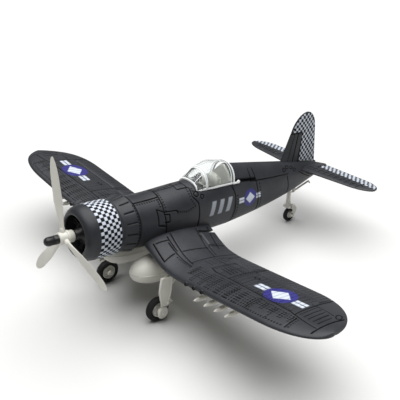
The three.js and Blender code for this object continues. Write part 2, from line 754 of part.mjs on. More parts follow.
function stabilizer() {
  const tipRoom = box([STAB.noseEnd - 1, STAB.tip + 5], [STAB.hingeY - SWING_ROOM, 260], [-20, 40]);
  return stabWhole()
    .subtract(regionBehind(elevatorRegion, HINGE_CLEARANCE))
    .subtract(hingeNose(elevatorHinge, HINGE_CLEARANCE))
    .subtract(stubs(elevatorHinge, HINGE_CLEARANCE, ["start"]))
    .subtract(tipRoom);
}

// Everything behind the rudder hinge, down to the fuselage.
const rudderRegion = {
  ...rudderHinge,
  start: vec(0, FIN.hingeY, FIN.root - 2),
  length: FIN.notch + 4 - FIN.root,
};

// The balance horn above the notch, which moves with the rudder; grow adds room below it.
function rudderHorn(grow) {
  return box([-5, 5], [150, 260], [FIN.notch - grow, 80]);
}

function rudder() {
  const neck = rod(vec(0, FIN.hingeY, FIN.notch - 3), vec(0, FIN.hingeY, FIN.notch + 3), 0.7, 0.7, 12);
  return finWhole()
    .intersect(regionBehind(rudderRegion, 0).add(rudderHorn(0)))
    .add(hingeNose(rudderHinge, 0))
    .add(neck)
    .add(stubs(rudderHinge, 0, ["start"]));
}

function fin() {
  const footRoom = box([-5, 5], [FIN.hingeY - SWING_ROOM, 260], [0, FIN.rudderFrom]);
  const gap = { ...rudderRegion, start: vec(0, FIN.hingeY - GAP, FIN.root - 2) };
  return finWhole()
    .subtract(regionBehind(rudderRegion, HINGE_CLEARANCE))
    .subtract(regionBehind(gap, 0))
    .subtract(hingeNose(rudderHinge, HINGE_CLEARANCE))
    .subtract(rudderHorn(HINGE_CLEARANCE))
    .subtract(footRoom);
}

// ---------- Landing gear ----------
function legTop(extra = 0) {
  return vec(LEG.x - 0.2 * extra, LEG.topY + 0.2 * extra, LEG.topZ + extra);
}

// Bar across the leg's foot, along the axle's line.
function alongAxle(half, radius, sides) {
  return rod(vec(LEG.x - half, WHEEL.y, WHEEL.z), vec(LEG.x + half, WHEEL.y, WHEEL.z), radius, radius, sides);
}

function gearLeg() {
  const { x, topY, topZ, radius, kneeShare } = LEG;
  const [pistonShare, eyeRadius, braceRadius, linkRadius] = [0.8, 2.2, 0.65, 0.55];
  const axle = vec(x, WHEEL.y, WHEEL.z);
  const knee = vec(x, mix(WHEEL.y, topY, kneeShare), mix(WHEEL.z, topZ, kneeShare));
  const elbow = vec(x, axle.y + 6.2, axle.z + 5);
  const braceFoot = knee.clone().add(vec(0, 0.4, 1));
  const braceHead = vec(x, topY + 11, topZ + 0.6);
  const linkFoot = axle.clone().add(vec(0, 1.6, 0.8));
  return rod(knee, legTop(2.2), radius, radius, 14)
    .add(rod(axle, knee, radius * pistonShare, radius * pistonShare, 12))
    .add(alongAxle(AXLE.eyeHalf, eyeRadius, 16))
    .add(rod(braceFoot, braceHead, braceRadius, braceRadius, 6))
    .add(rod(linkFoot, elbow, linkRadius, linkRadius, 6))
    .add(rod(elbow, knee.clone().add(vec(0, 0.2, 0)), linkRadius, linkRadius, 6))
    .subtract(alongAxle(3, AXLE.radius + GAP, 12));
}

// Broad door plate fixed outboard of the leg, following its rake.
function gearDoor() {
  const shape = new THREE.Shape();
  shape.moveTo(-3.6, 0);
  shape.lineTo(3.9, 0);
  shape.lineTo(4.1, 9);
  shape.quadraticCurveTo(3, 14, 1.4, 17.6);
  shape.lineTo(-1.9, 17.6);
  shape.quadraticCurveTo(-3.6, 13, -4.2, 8);
  shape.closePath();
  const turn = new THREE.Matrix4().makeBasis(vec(0, 1, 0), vec(0, 0, -1), vec(-1, 0, 0));
  const flat = new THREE.ExtrudeGeometry(shape, {
    depth: 1.0, bevelEnabled: true, bevelThickness: 0.2, bevelSize: 0.2, bevelSegments: 1, curveSegments: 5,
  });
  flat.applyMatrix4(turn);
  return solid(flat.translate(LEG.x + LEG.radius + GAP + 1.2, LEG.topY - 3.4, LEG.topZ - 1.4));
}

// The tread's sides touch the ground at the stated radius, so its corners stand a little outside it.
function tyre(place, radius, width, hub) {
  const sides = 20;
  const steps = 5;
  const crown = radius / Math.cos(Math.PI / sides) - hub;
  const bulge = (i) => Math.cos(-Math.PI / 2 + (i / steps) * Math.PI) ** 0.8;
  const outline = [];
  for (let i = 0; i <= steps; i += 1) {
    const share = 0.35 + 0.65 * Math.min(1, bulge(i) / bulge(2));
    const across = signedPower(Math.sin(-Math.PI / 2 + (i / steps) * Math.PI), 0.8);
    outline.push([hub + crown * share, (width / 2) * across]);
  }
  outline.push([hub, width * 0.36], [hub, -width * 0.36], outline[0]);
  return wheelTurned(outline, place, sides);
}

function wheelHub(place, hub, width, bore) {
  const half = width / 2;
  const outline = [
    [bore, -half + 0.2], [hub * 0.5, -half + 0.2], [hub * 0.66, -half * 0.6], [hub - GAP, -half * 0.75],
    [hub - GAP, half * 0.75], [hub * 0.66, half * 0.6], [hub * 0.5, half - 0.2], [bore, half - 0.2],
    [bore, -half + 0.2],
  ];
  return wheelTurned(outline, place, 16);
}

function mainAxle() {
  const { radius, cap, eyeHalf, capDepth } = AXLE;
  const head = -WHEEL.width / 2 - GAP;
  const seat = LEG.x + eyeHalf + GAP - WHEEL.x;
  const outline = [
    [0, head - 1.3], [1.4, head - 1.3], [1.7, head], [radius, head],
    [radius, seat], [cap, seat], [cap, seat + capDepth * 0.6],
    [cap - 0.6, seat + capDepth], [0, seat + capDepth],
  ];
  return wheelTurned(outline, vec(WHEEL.x, WHEEL.y, WHEEL.z), 14);
}

// Flat bar between two places seen from the side, with round ends: [y, z, radius] each.
function strap(from, to, xLow, xHigh) {
  const ends = [from, to].map(([y, z, radius]) => rod(vec(xLow, y, z), vec(xHigh, y, z), radius, radius, 14));
  return wasm.Manifold.hull(ends);
}

function tailFork() {
  const { y, z, width, radius } = TAIL_WHEEL;
  const over = z + radius;
  const [armInner, armOuter] = [width / 2 + 0.35, width / 2 + 1.25];
  const crown = box([-armOuter, armOuter], [178.6, 182.4], [over + 0.5, over + 2.4]);
  const { footY, footZ, headY, headZ, radius: postRadius } = TAIL_POST;
  let made = rod(vec(0, footY, footZ), vec(0, headY, headZ), postRadius, postRadius - 0.1, 12).add(crown);
  for (const side of [-1, 1]) {
    const [low, high] = side < 0 ? [-armOuter, -armInner] : [armInner, armOuter];
    const path = [[180.8, over + 2.2, 1.7], [185.2, over - 0.6, 1.8], [185.7, z + 2, 1.6], [y, z, 1.6]];
    for (let i = 0; i + 1 < path.length; i += 1) made = made.add(strap(path[i], path[i + 1], low, high));
  }
  const bore = TAIL_AXLE.radius + GAP;
  return made.subtract(rod(vec(-8, y, z), vec(8, y, z), bore, bore, 12));
}

function tailAxle() {
  const { radius, head } = TAIL_AXLE;
  const half = TAIL_WHEEL.width / 2 + 1.25 + GAP;
  const end = half + 0.7;
  const outline = [
    [0, -end], [head, -end], [head, -half], [radius, -half],
    [radius, half], [head, half], [head, end], [0, end],
  ];
  return wheelTurned(outline, vec(0, TAIL_WHEEL.y, TAIL_WHEEL.z), 10);
}

function hookPeg(grow) {
  const y = HOOK.front + 1.6;
  return rod(vec(0, y, HOOK.frontZ), vec(0, y, HOOK.frontZ + 7), 1 + grow, 1 + grow, 10);
}

function arrestorHook() {
  const { front, rear, frontZ, rearZ, radius } = HOOK;
  const start = vec(0, front, frontZ);
  const end = vec(0, rear, rearZ);
  const bar = rod(start, end, radius, radius, 8);
  const claw = rod(end, end.clone().add(vec(0, 2.2, -1.8)), radius * 1.2, radius * 0.7, 8);
  return hookPeg(0).add(bar).add(claw);
}

// ---------- Stores ----------
// Tank with a short flat post that ends just under the inner wing.
function dropTank() {
  const { x, y, z, radius, length, ridge } = TANK;
  const outline = [];
  const steps = 10;
  for (let i = 0; i <= steps; i += 1) {
    const along = -Math.cos((i / steps) * Math.PI);
    const [taper, fullness] = along > 0 ? [1.25, 0.85] : [2.8, 0.5];
    const round = Math.max(1 - Math.abs(along) ** taper, 0) ** fullness;
    outline.push([i % steps === 0 ? 0 : radius * round, y + (length / 2) * along]);
  }
  const reach = radius + ridge;
  const band = box([x - reach, x + reach], [y - length * 0.36, y + length * 0.2], [z - 0.25, z + 0.25]);
  const { half, front, rear, top } = TANK_POST;
  const post = box([x - half, x + half], [front, rear], [z, top]);
  const wider = outline.map(([r, along]) => [r === 0 ? 0 : r + ridge, along]);
  return turned(outline, 18, x, z).add(turned(wider, 18, x, z).intersect(band)).add(post);
}

function rocketPlace(index) {
  const x = ROCKET.first + index * ROCKET.pitch;
  return vec(x, ROCKET.nose, wingLevel(x) - ROCKET.drop);
}

// A flat post from a rocket up towards the wing; grow makes the socket that it stands in.
function rocketPost(index, y, grow, top) {
  const { x, z } = rocketPlace(index);
  return box([x - 0.4 - grow, x + 0.4 + grow], [y - 1.3 - grow, y + 1.3 + grow], [z + 0.6, top]);
}

function rocket(index) {
  const { x, y, z } = rocketPlace(index);
  const { length, radius, drop } = ROCKET;
  const rear = y + length;
  const outline = [[0, y], [radius * 0.75, y + 2.2], [radius, y + 5], [radius, rear], [0, rear]];
  let made = turned(outline, 8, x, z);
  for (let i = 0; i < 4; i += 1) {
    const fin = box([-0.25, 0.25], [rear - 5.4, rear - 0.8], [0.4, radius + 1.9]);
    made = made.add(fin.rotate([0, 45 + i * 90, 0]).translate([x, 0, z]));
  }
  for (const postY of ROCKET_POSTS) made = made.add(rocketPost(index, postY, 0, z + drop - 1.6));
  return made;
}

// ---------- Materials ----------
const finish = (color, roughness) => new THREE.MeshStandardMaterial({ color, roughness, metalness: 0 });
const NAVY = () => finish(0x2f353d, 0.62);
const WHITE = () => finish(0xd9d8d0, 0.5);
const BLACK = () => finish(0x17181a, 0.5);
const RUBBER = () => finish(0x141414, 0.8);
const CLEAR = () => {
  const material = finish(0xe8f0f2, 0.06);
  material.transparent = true;
  material.opacity = 0.35;
  return material;
};

// ---------- Assembly ----------
const aircraft = new THREE.Group();

function place(name, made, material) {
  const mesh = new THREE.Mesh(geometryOf(made), material);
  mesh.name = name;
  aircraft.add(mesh);
}

function placePair(name, made, material) {
  place(`${name}_left`, made, material());
  place(`${name}_right`, mirrored(made), material());
}

placePair("fuselage", fuselageHalf(), NAVY);
place("belly_panel", bellyPanel(), WHITE());
place("cowling", cowling(), NAVY());
place("cowl_flap_ring", cowlFlapRing(), NAVY());
place("radial_engine", radialEngine(), BLACK());
place("engine_gearbox", engineGearbox(), BLACK());
place("firewall", firewall(), NAVY());
place("propeller", propeller(), WHITE());
place("spinner_cap", spinnerCap(), BLACK());
place("propeller_shaft", propellerShaft(), BLACK());
place("shaft_collar", shaftCollar(), WHITE());
place("cockpit_tub", cockpitTub(), WHITE());
place("pilot_seat", pilotSeat(), WHITE());
place("instrument_panel", instrumentPanel(), BLACK());
place("control_stick", controlStick(), BLACK());
place("windscreen", windscreen(), CLEAR());
place("canopy_hood", canopyHood(), CLEAR());

placePair("wing_upper", wingUpper(), NAVY);
placePair("wing_lower", wingLower(), WHITE);
place("wing_spar", wingSpar(), WHITE());
for (const [name, hinge] of Object.entries(wingHinges)) {
  placePair(name, movingSurface(wingWhole, hinge, ["start", "end"]), NAVY);
}

placePair("stabilizer", stabilizer(), NAVY);
placePair("elevator", elevator(), NAVY);
place("fin", fin(), NAVY());
place("rudder", rudder(), NAVY());

const wheelPlace = vec(WHEEL.x, WHEEL.y, WHEEL.z);
placePair("gear_leg", gearLeg(), WHITE);
placePair("gear_door", gearDoor(), WHITE);
placePair("main_axle", mainAxle(), WHITE);
placePair("tyre", tyre(wheelPlace, WHEEL.radius, WHEEL.width, WHEEL.hub), RUBBER);
placePair("wheel_hub", wheelHub(wheelPlace, WHEEL.hub, WHEEL.width, 0.8 + GAP), WHITE);

const tailPlace = vec(0, TAIL_WHEEL.y, TAIL_WHEEL.z);
place("tail_leg", tailFork(), WHITE());
place("tail_axle", tailAxle(), WHITE());
place("tail_tyre", tyre(tailPlace, TAIL_WHEEL.radius, TAIL_WHEEL.width, TAIL_WHEEL.hub), RUBBER());
place("tail_hub", wheelHub(tailPlace, TAIL_WHEEL.hub, TAIL_WHEEL.width, 0.5 + GAP), WHITE());
place("arrestor_hook", arrestorHook(), WHITE());

placePair("drop_tank", dropTank(), WHITE);
for (let i = 0; i < ROCKET.count; i += 1) {
  place(`rocket_left_${i + 1}`, rocket(i), WHITE());
  place(`rocket_right_${i + 1}`, mirrored(rocket(i)), WHITE());
}

// Stand the model on its three wheels, centred fore and aft.
aircraft.rotation.x = -PITCH;
aircraft.updateMatrixWorld(true);
const bounds = new THREE.Box3().setFromObject(aircraft, true);
aircraft.position.set(0, -(bounds.min.y + bounds.max.y) / 2, -bounds.min.z);

const part = new THREE.Group();
part.add(aircraft);

export default part;
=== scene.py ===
"""A gull-winged naval fighter as a snap-together display model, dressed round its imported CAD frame.

Shapes are worked out in millimetres on the design axes: +X to the left wing tip, +Y to the tail, +Z up,
Y = 0 at the spinner's tip and Z = 0 on the thrust line. to_row() turns them into the row frame."""

import json
import math

import bpy
import numpy as np
from mathutils import Matrix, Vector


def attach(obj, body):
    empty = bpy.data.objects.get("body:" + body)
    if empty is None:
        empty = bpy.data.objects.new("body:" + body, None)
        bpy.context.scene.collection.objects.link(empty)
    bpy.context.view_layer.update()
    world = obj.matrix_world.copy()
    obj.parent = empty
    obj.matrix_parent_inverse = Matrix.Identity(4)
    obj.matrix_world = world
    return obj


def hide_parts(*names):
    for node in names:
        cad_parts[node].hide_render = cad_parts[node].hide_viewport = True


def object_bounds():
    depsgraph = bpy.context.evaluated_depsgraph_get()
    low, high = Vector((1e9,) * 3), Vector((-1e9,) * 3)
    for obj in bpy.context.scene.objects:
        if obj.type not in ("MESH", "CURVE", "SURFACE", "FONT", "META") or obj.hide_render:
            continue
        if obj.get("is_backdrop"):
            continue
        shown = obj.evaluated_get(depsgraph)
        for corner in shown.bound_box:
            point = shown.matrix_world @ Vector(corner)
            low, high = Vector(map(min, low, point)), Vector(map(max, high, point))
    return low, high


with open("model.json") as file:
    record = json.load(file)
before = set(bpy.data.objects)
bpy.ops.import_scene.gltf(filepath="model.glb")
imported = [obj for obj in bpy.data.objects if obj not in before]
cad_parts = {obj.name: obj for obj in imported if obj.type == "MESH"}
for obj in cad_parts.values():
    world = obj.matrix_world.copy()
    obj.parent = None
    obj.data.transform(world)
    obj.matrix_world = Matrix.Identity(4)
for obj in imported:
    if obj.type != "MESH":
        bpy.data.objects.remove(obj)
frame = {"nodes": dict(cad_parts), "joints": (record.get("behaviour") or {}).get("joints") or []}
cad_low, cad_high = (list(corner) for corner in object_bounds())

# ---------- The design axes, found from the propeller's joint ----------
MM = 0.001
PROPELLER_Y = 10.7
spin = next(j for j in frame["joints"] if j["name"] == "propeller_spin")
PITCH = math.atan2(-spin["axis"][2], spin["axis"][1])
COS, SIN = math.cos(PITCH), math.sin(PITCH)
SHIFT_Y = spin["pos_m"][1] / MM - PROPELLER_Y * COS
SHIFT_Z = spin["pos_m"][2] / MM + PROPELLER_Y * SIN


def to_row(points):
    """Design millimetres to row-frame metres."""
    x, y, z = np.moveaxis(np.asarray(points, float), -1, 0)
    return np.stack([x, y * COS + z * SIN + SHIFT_Y, -y * SIN + z * COS + SHIFT_Z], -1) * MM


# ---------- Driving dimensions, millimetres, as in the CAD part ----------
CLEAR = 0.3
NOSE_STATIONS = np.array([
    [43.2, 14.0, 14.0, -14.4, 0, 2.0],
    [60, 13.9, 13.9, -15.9, 0, 2.0],
    [84, 13.4, 15.3, -17.4, 0, 2.05],
    [116.6, 12.5, 15.9, -16.6, 0, 2.1],
])
TAIL_STATIONS = np.array([
    [117, 12.5, 21.8, -16.6, 0, 1.55],
    [140, 10.9, 18.5, -14.0, 0, 1.6],
    [160, 8.8, 15.5, -11.0, 0.6, 1.75],
    [180, 6.4, 12.6, -7.0, 2.2, 1.9],
    [198, 3.8, 9.4, -1.8, 3.8, 2.0],
    [213.8, 1.0, 5.0, 2.6, 4.0, 2.0],
])
BULKHEAD = 117
BELLY_EXPONENT = 2.1
COCKPIT = dict(front=92, sill=11.4)
BELLY = dict(front=55, rear=98, half=7.4, gap=0.35)
RAIL = dict(front=117, rear=135, low=11.5)
CANOPY = dict(front=90, split=97, rear=118, base=12, half=9.3, peak=105, wall=0.6)

WING = dict(
    root_x=12, bend=30.8, tip=130, rounding=31.5, roundness=2.2, pivot=0.38, blend=5,
    lead=(52.6, 51.8, 49.4), trail=(99.2, 96.8, 91), level=(-10.1, -17.5, -4.4),
    thick=(8.2, 7.8, 4.4), camber=0.7, edge=0.5,
)
HINGE_SHARE = 0.78
HINGED = dict(flap_inner=(15.4, 26.4), flap_outer=(43, 62), aileron=(65, 108))
LOWER_PANEL = dict(inner=15, outer=98, lead=0.08, trail=0.70, depth=0.8)
STAB = dict(
    tip=53, rounding=14.3, level=7.4, lead=(182.2, 189.2), trail=(205.8, 205.8),
    thick=(2.6, 1.8), pivot=0.45, hinge=196.4, inner=8,
)
FIN = dict(
    root=7, tip=44.8, rounding=10, lead=(163.6, 178), trail=(200.6, 194), thick=(2.7, 1.7),
    pivot=0.55, hinge=184.4, notch=32.4,
)
TIP_EXPONENT = 2.2
TAIL_EDGE = 0.3
COWL = dict(front=17, rear=37.4, lip=10.2, radius=14.9, wall=1.1, bow=7)
FLARE = dict(front=37.8, rear=45.6, flare=1.5, wall=0.9, count=16)
ENGINE = dict(front=22.5, rear=34, core=6.2, cylinders=9, ring=12.4, bore=2.1, row=25.65)
WHEEL = dict(x=24.4, y=54.2, z=-43.3, radius=7.1, width=4.2, hub=4.1)
TAIL_WHEEL = dict(x=0, y=182.6, z=-25.9, radius=4.8, width=2.8, hub=2.4)
LEG = dict(x=27.9, top_y=57.5, top_z=-19.6, radius=1.25)
BLADE = dict(root=2.2, tip=41.0, first=-16)
TANK = dict(x=13.2, y=65.7, z=-24.7, radius=8.2, length=44)
ROCKET = dict(first=57.4, pitch=7.4, count=4, nose=49.6, length=27, radius=1.25, drop=6)


# ---------- Curves and sections ----------
def mix(a, b, t):
    return a + (b - a) * t


def unit(t):
    return np.clip(t, 0, 1)


def signed_power(value, power):
    return np.sign(value) * np.abs(value) ** power


def circle(count):
    """Evenly spaced angles round a circle, in radians."""
    return np.linspace(0, 2 * math.pi, count, endpoint=False)


def radial(turn):
    """The directions outwards and sideways from the Y axis at a turn from straight up."""
    sine, cosine = math.sin(turn), math.cos(turn)
    return np.array([sine, 0, cosine]), np.array([cosine, 0, -sine])


def steps_between(low, high, step):
    """Evenly spaced places from low to high, about step apart."""
    return np.linspace(low, high, max(2, int(round((high - low) / step)) + 1))


def station_values(y):
    """Half width, top, bottom, middle and top exponent of the fuselage at one distance aft."""
    table = NOSE_STATIONS if y < BULKHEAD else TAIL_STATIONS
    last = len(table) - 1
    i = int(np.clip(np.searchsorted(table[:, 0], y) - 1, 0, last - 1))
    slopes = [
        (table[min(k + 1, last)] - table[max(k - 1, 0)])
        / (table[min(k + 1, last), 0] - table[max(k - 1, 0), 0])
        for k in (i, i + 1)
    ]
    span = table[i + 1, 0] - table[i, 0]
    t = min(1, max(0, (y - table[i, 0]) / span))
    value = (
        (2 * t**3 - 3 * t**2 + 1) * table[i]
        + (t**3 - 2 * t**2 + t) * span * slopes[0]
        + (3 * t**2 - 2 * t**3) * table[i + 1]
        + (t**3 - t**2) * span * slopes[1]
    )
    return value[1:]


def fuselage_points(y, degrees, grow=0.0):
    """Points of the fuselage outline at one distance aft; 0 degrees is the left side, 90 the top."""
    half, top, bottom, middle, exponent = station_values(y)
    angle = np.radians(degrees)
    upper = np.sin(angle) > 0
    power = np.where(upper, 2 / exponent, 2 / BELLY_EXPONENT)
    height = np.where(upper, top - middle, middle - bottom)
    return np.stack([
        (half + grow) * signed_power(np.cos(angle), power),
        np.full_like(angle, y),
        middle + (height + grow) * signed_power(np.sin(angle), power),
    ], -1)


def side_angle(y, height):
    """The angle at which the fuselage outline reaches a height above the thrust line."""
    _, top, bottom, middle, exponent = station_values(y)
    if height > middle:
        return math.degrees(math.asin(((height - middle) / (top - middle)) ** (exponent / 2)))
    return -math.degrees(math.asin(((middle - height) / (middle - bottom)) ** (BELLY_EXPONENT / 2)))


def foil(share):
    """Half thickness of a wing section as a share of its greatest thickness."""
    s = unit(share)
    return 5 * (0.2969 * np.sqrt(s) - 0.126 * s - 0.3516 * s**2 + 0.2843 * s**3 - 0.1036 * s**4)


def across_span(x, values):
    inner = mix(values[0], values[1], (x - WING["root_x"]) / (WING["bend"] - WING["root_x"]))
    outer = mix(values[1], values[2], (x - WING["bend"]) / (WING["tip"] - WING["bend"]))
    return np.where(x < WING["bend"], inner, outer)


def wing_level(x):
    root, bend, tip = WING["level"]
    inner = (bend - root) / (WING["bend"] - WING["root_x"])
    outer = (tip - bend) / (WING["tip"] - WING["bend"])
    past = (x - WING["bend"]) / WING["blend"]
    return bend + inner * (x - WING["bend"]) + (outer - inner) * WING["blend"] * np.logaddexp(0, past)


def wing_chord(x):
    lead, trail = across_span(x, WING["lead"]), across_span(x, WING["trail"])
    past = unit((x - (WING["tip"] - WING["rounding"])) / WING["rounding"])
    keep = np.maximum(1 - past ** WING["roundness"], 0) ** (1 / WING["roundness"])
    pivot = mix(lead, trail, WING["pivot"])
    return mix(pivot, lead, keep), mix(pivot, trail, keep), across_span(x, WING["thick"]) * mix(0.3, 1, keep)


def wing_points(x, share, side):
    x, share = np.broadcast_arrays(np.asarray(x, float), np.asarray(share, float))
    lead, trail, thick = wing_chord(x)
    half = foil(share) * thick + 0.5 * WING["edge"] * share
    lift = 4 * WING["camber"] * share * (1 - share)
    return np.stack([x, mix(lead, trail, share), wing_level(x) + lift + side * half], -1)


def tail_section(surface, along):
    """Leading edge, trailing edge and thickness of the stabiliser or fin at places along its span."""
    root = surface.get("root", 0)
    t = (along - root) / (surface["tip"] - root)
    past = unit(1 - (surface["tip"] - along) / surface["rounding"])
    keep = np.maximum(1 - past**TIP_EXPONENT, 0) ** (1 / TIP_EXPONENT)
    lead, trail = mix(*surface["lead"], t), mix(*surface["trail"], t)
    pivot = mix(lead, trail, surface["pivot"])
    return mix(pivot, lead, keep), mix(pivot, trail, keep), mix(*surface["thick"], t) * mix(0.4, 1, keep)


# ---------- Recessed lines and rivets ----------
LINE_WIDTH = 0.66
RIVET_RADIUS = 0.46


def seam(u, v, start, end, width=LINE_WIDTH):
    """1 along a line on a surface's flat plan, falling to 0 beside it."""
    du, dv = end[0] - start[0], end[1] - start[1]
    t = unit(((u - start[0]) * du + (v - start[1]) * dv) / (du * du + dv * dv + 1e-9))
    distance = np.hypot(u - start[0] - t * du, v - start[1] - t * dv)
    return unit(1.5 - distance / (width / 2))


def rivets(u, v, start, end, pitch=1.6, radius=RIVET_RADIUS):
    """1 at evenly spaced dots along a line."""
    du, dv = end[0] - start[0], end[1] - start[1]
    length = math.hypot(du, dv)
    along = ((u - start[0]) * du + (v - start[1]) * dv) / length
    beside = ((u - start[0]) * dv - (v - start[1]) * du) / length
    count = max(1, round(length / pitch))
    nearest = np.clip(np.round(along * count / length), 0, count) * length / count
    return unit(1.4 - np.hypot(along - nearest, beside) / radius)


def oval(u, v, centre, size, width=0.6):
    """1 round the edge of an ellipse."""
    distance = np.hypot((u - centre[0]) / size[0], (v - centre[1]) / size[1])
    return unit(1.4 - np.abs(distance - 1) * min(size) / (width / 2))


def segments(*paths):
    """The straight stretches of paths that are given by their corners."""
    return [pair for path in paths for pair in zip(path, path[1:], strict=False)]


def strongest(u, v, marks):
    """The strongest of many marks at each place, worked out only near each mark."""
    out = np.zeros_like(u)
    for kind, start, end, *rest in marks:
        reach = 2.0 if kind is not oval else max(end) + 1
        low_u, high_u = (start[0], start[0]) if kind is oval else sorted((start[0], end[0]))
        low_v, high_v = (start[1], start[1]) if kind is oval else sorted((start[1], end[1]))
        near = (u > low_u - reach) & (u < high_u + reach) & (v > low_v - reach) & (v < high_v + reach)
        out[near] = np.maximum(out[near], kind(u[near], v[near], start, end, *rest))
    return out


# ---------- Mesh building ----------
class Shape:
    """Points, faces and per-point numbers of one piece, in design millimetres."""

    def __init__(self):
        self.points, self.faces, self.fields, self.count = [], [], [], 0

    def add(self, points, faces, **fields):
        """Adds one closed shell, turning its faces outwards."""
        points = np.asarray(points, float).reshape(-1, 3)
        volume = 0.0
        for size in {len(f) for f in faces}:
            block = points[np.array([f for f in faces if len(f) == size])]
            for k in range(1, size - 1):
                volume += np.einsum("ij,ij->i", block[:, 0], np.cross(block[:, k], block[:, k + 1])).sum()
        if volume < 0:
            faces = [face[::-1] for face in faces]
        self.faces += [[i + self.count for i in face] for face in faces]
        self.points.append(points)
        self.fields.append({name: np.asarray(value, float).ravel() for name, value in fields.items()})
        self.count += len(points)
        return self

    def mirrored(self):
        """The same piece on the other side of the aircraft."""
        other = Shape()
        other.points = [points * (-1, 1, 1) for points in self.points]
        other.faces = [face[::-1] for face in self.faces]
        other.fields, other.count = self.fields, self.count
        return other


def grid_faces(rows, columns, wrap_rows=False, wrap_columns=True):
    """Quads of a grid of points, closed round on itself where asked."""
    r = np.arange(rows if wrap_rows else rows - 1)[:, None]
    c = np.arange(columns if wrap_columns else columns - 1)[None, :]
    r_next, c_next = (r + 1) % rows, (c + 1) % columns
    quads = np.stack([
        r * columns + c, r * columns + c_next, r_next * columns + c_next, r_next * columns + c,
    ], -1)
    return quads.reshape(-1, 4).tolist()


def loft(shape, rings, **fields):
    """A closed solid through rings of equal count, each end closed by one face."""
    rings = np.asarray(rings, float)
    rows, columns = rings.shape[:2]
    faces = grid_faces(rows, columns)
    faces.append(list(range(columns)))
    faces.append(list(range((rows - 1) * columns, rows * columns))[::-1])
    return shape.add(rings, faces, **fields)


def lathe(shape, outline, sides=48, origin=(0, 0, 0), axis="y", **fields):
    """A solid turned about the design Y axis or an axis along X. The outline is (radius, along) pairs, and
    is closed either on the axis, where its end radii are 0, or by its last point meeting its first."""
    outline = np.asarray(outline, float)
    tube = np.allclose(outline[0], outline[-1])
    if tube:
        outline = outline[:-1]
    angle = circle(sides)[:, None]
    radius, along = np.maximum(outline[:, 0], 0.004)[None, :], outline[None, :, 1]
    across, up = radius * np.sin(angle), radius * np.cos(angle)
    along = np.broadcast_to(along, across.shape)
    parts = (across, along, up) if axis == "y" else (along, across, up)
    points = np.stack(parts, -1) + np.asarray(origin, float)
    faces = grid_faces(sides, len(outline), wrap_rows=True, wrap_columns=tube)
    if not tube:
        last = len(outline) - 1
        faces.append([i * len(outline) for i in range(sides)][::-1])
        faces.append([i * len(outline) + last for i in range(sides)])
    return shape.add(points, faces, **fields)


def rod(shape, start, end, radius, end_radius=None, sides=20, rounding=0.25, **fields):
    """A round bar between two points with softened ends."""
    start, end = np.asarray(start, float), np.asarray(end, float)
    end_radius = radius if end_radius is None else end_radius
    along = end - start
    length = np.linalg.norm(along)
    along /= length
    side = np.cross(along, (0, 0, 1) if abs(along[2]) < 0.9 else (1, 0, 0))
    side /= np.linalg.norm(side)
    other = np.cross(along, side)
    soft = min(rounding, length / 3, radius * 0.7, end_radius * 0.7)
    places = [(0, radius - soft), (soft * 0.3, radius - soft * 0.3), (soft, radius),
              (length - soft, end_radius), (length - soft * 0.3, end_radius - soft * 0.3),
              (length, end_radius - soft)]
    angle = circle(sides)[:, None]
    rings = [start + along * t + r * (np.cos(angle) * side + np.sin(angle) * other) for t, r in places]
    return loft(shape, rings, **fields)


def slab(shape, x, y, z, soft=0.25, **fields):
    """A box with softened edges, between pairs of limits."""
    outline = []
    for cx, cy, start in ((1, 1, 0), (-1, 1, 90), (-1, -1, 180), (1, -1, 270)):
        for k in range(4):
            angle = math.radians(start + 30 * k)
            outline.append((
                (x[1] if cx > 0 else x[0]) + soft * (math.cos(angle) - cx),
                (y[1] if cy > 0 else y[0]) + soft * (math.sin(angle) - cy),
            ))
    outline = np.array(outline)
    middle = np.array([(x[0] + x[1]) / 2, (y[0] + y[1]) / 2])
    inset = outline - np.sign(outline - middle) * soft
    small = [(inset, z[0]), (mix(inset, outline, 0.7), z[0] + soft * 0.3), (outline, z[0] + soft),
             (outline, z[1] - soft), (mix(inset, outline, 0.7), z[1] - soft * 0.3), (inset, z[1])]
    return loft(shape, [np.column_stack([ring, np.full(len(ring), h)]) for ring, h in small], **fields)


replaced = set()


def piece(name, shape, material, node=None, body="airframe", crease=38):
    """A finished Blender object from a shape, riding on a body and standing for a CAD node."""
    mesh = bpy.data.meshes.new(name)
    mesh.from_pydata(to_row(np.concatenate(shape.points)).tolist(), [], shape.faces)
    for field in {key for block in shape.fields for key in block}:
        values = [
            block.get(field, np.zeros(len(points)))
            for block, points in zip(shape.fields, shape.points, strict=True)
        ]
        attribute = mesh.attributes.new(field, "FLOAT", "POINT")
        attribute.data.foreach_set("value", np.concatenate(values).astype(np.float32))
    mesh.materials.append(material)
    mesh.polygons.foreach_set("use_smooth", [True] * len(mesh.polygons))
    mesh.set_sharp_from_angle(angle=math.radians(crease))
    mesh.validate()
    ob = bpy.data.objects.new(name, mesh)
    bpy.context.scene.collection.objects.link(ob)
    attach(ob, body)
    if node:
        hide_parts(node)
        replaced.add(node)


def both_sides(name, shape, material, node=None, body="airframe"):
    """A piece and its mirror image; names, bodies and nodes ending in _left change to _right."""
    piece(name, shape, material, node, body)
    right_name, right_node, right_body = (
        text and text.replace("_left", "_right") for text in (name, node, body)
    )
    piece(right_name, shape.mirrored(), material, right_node, right_body)


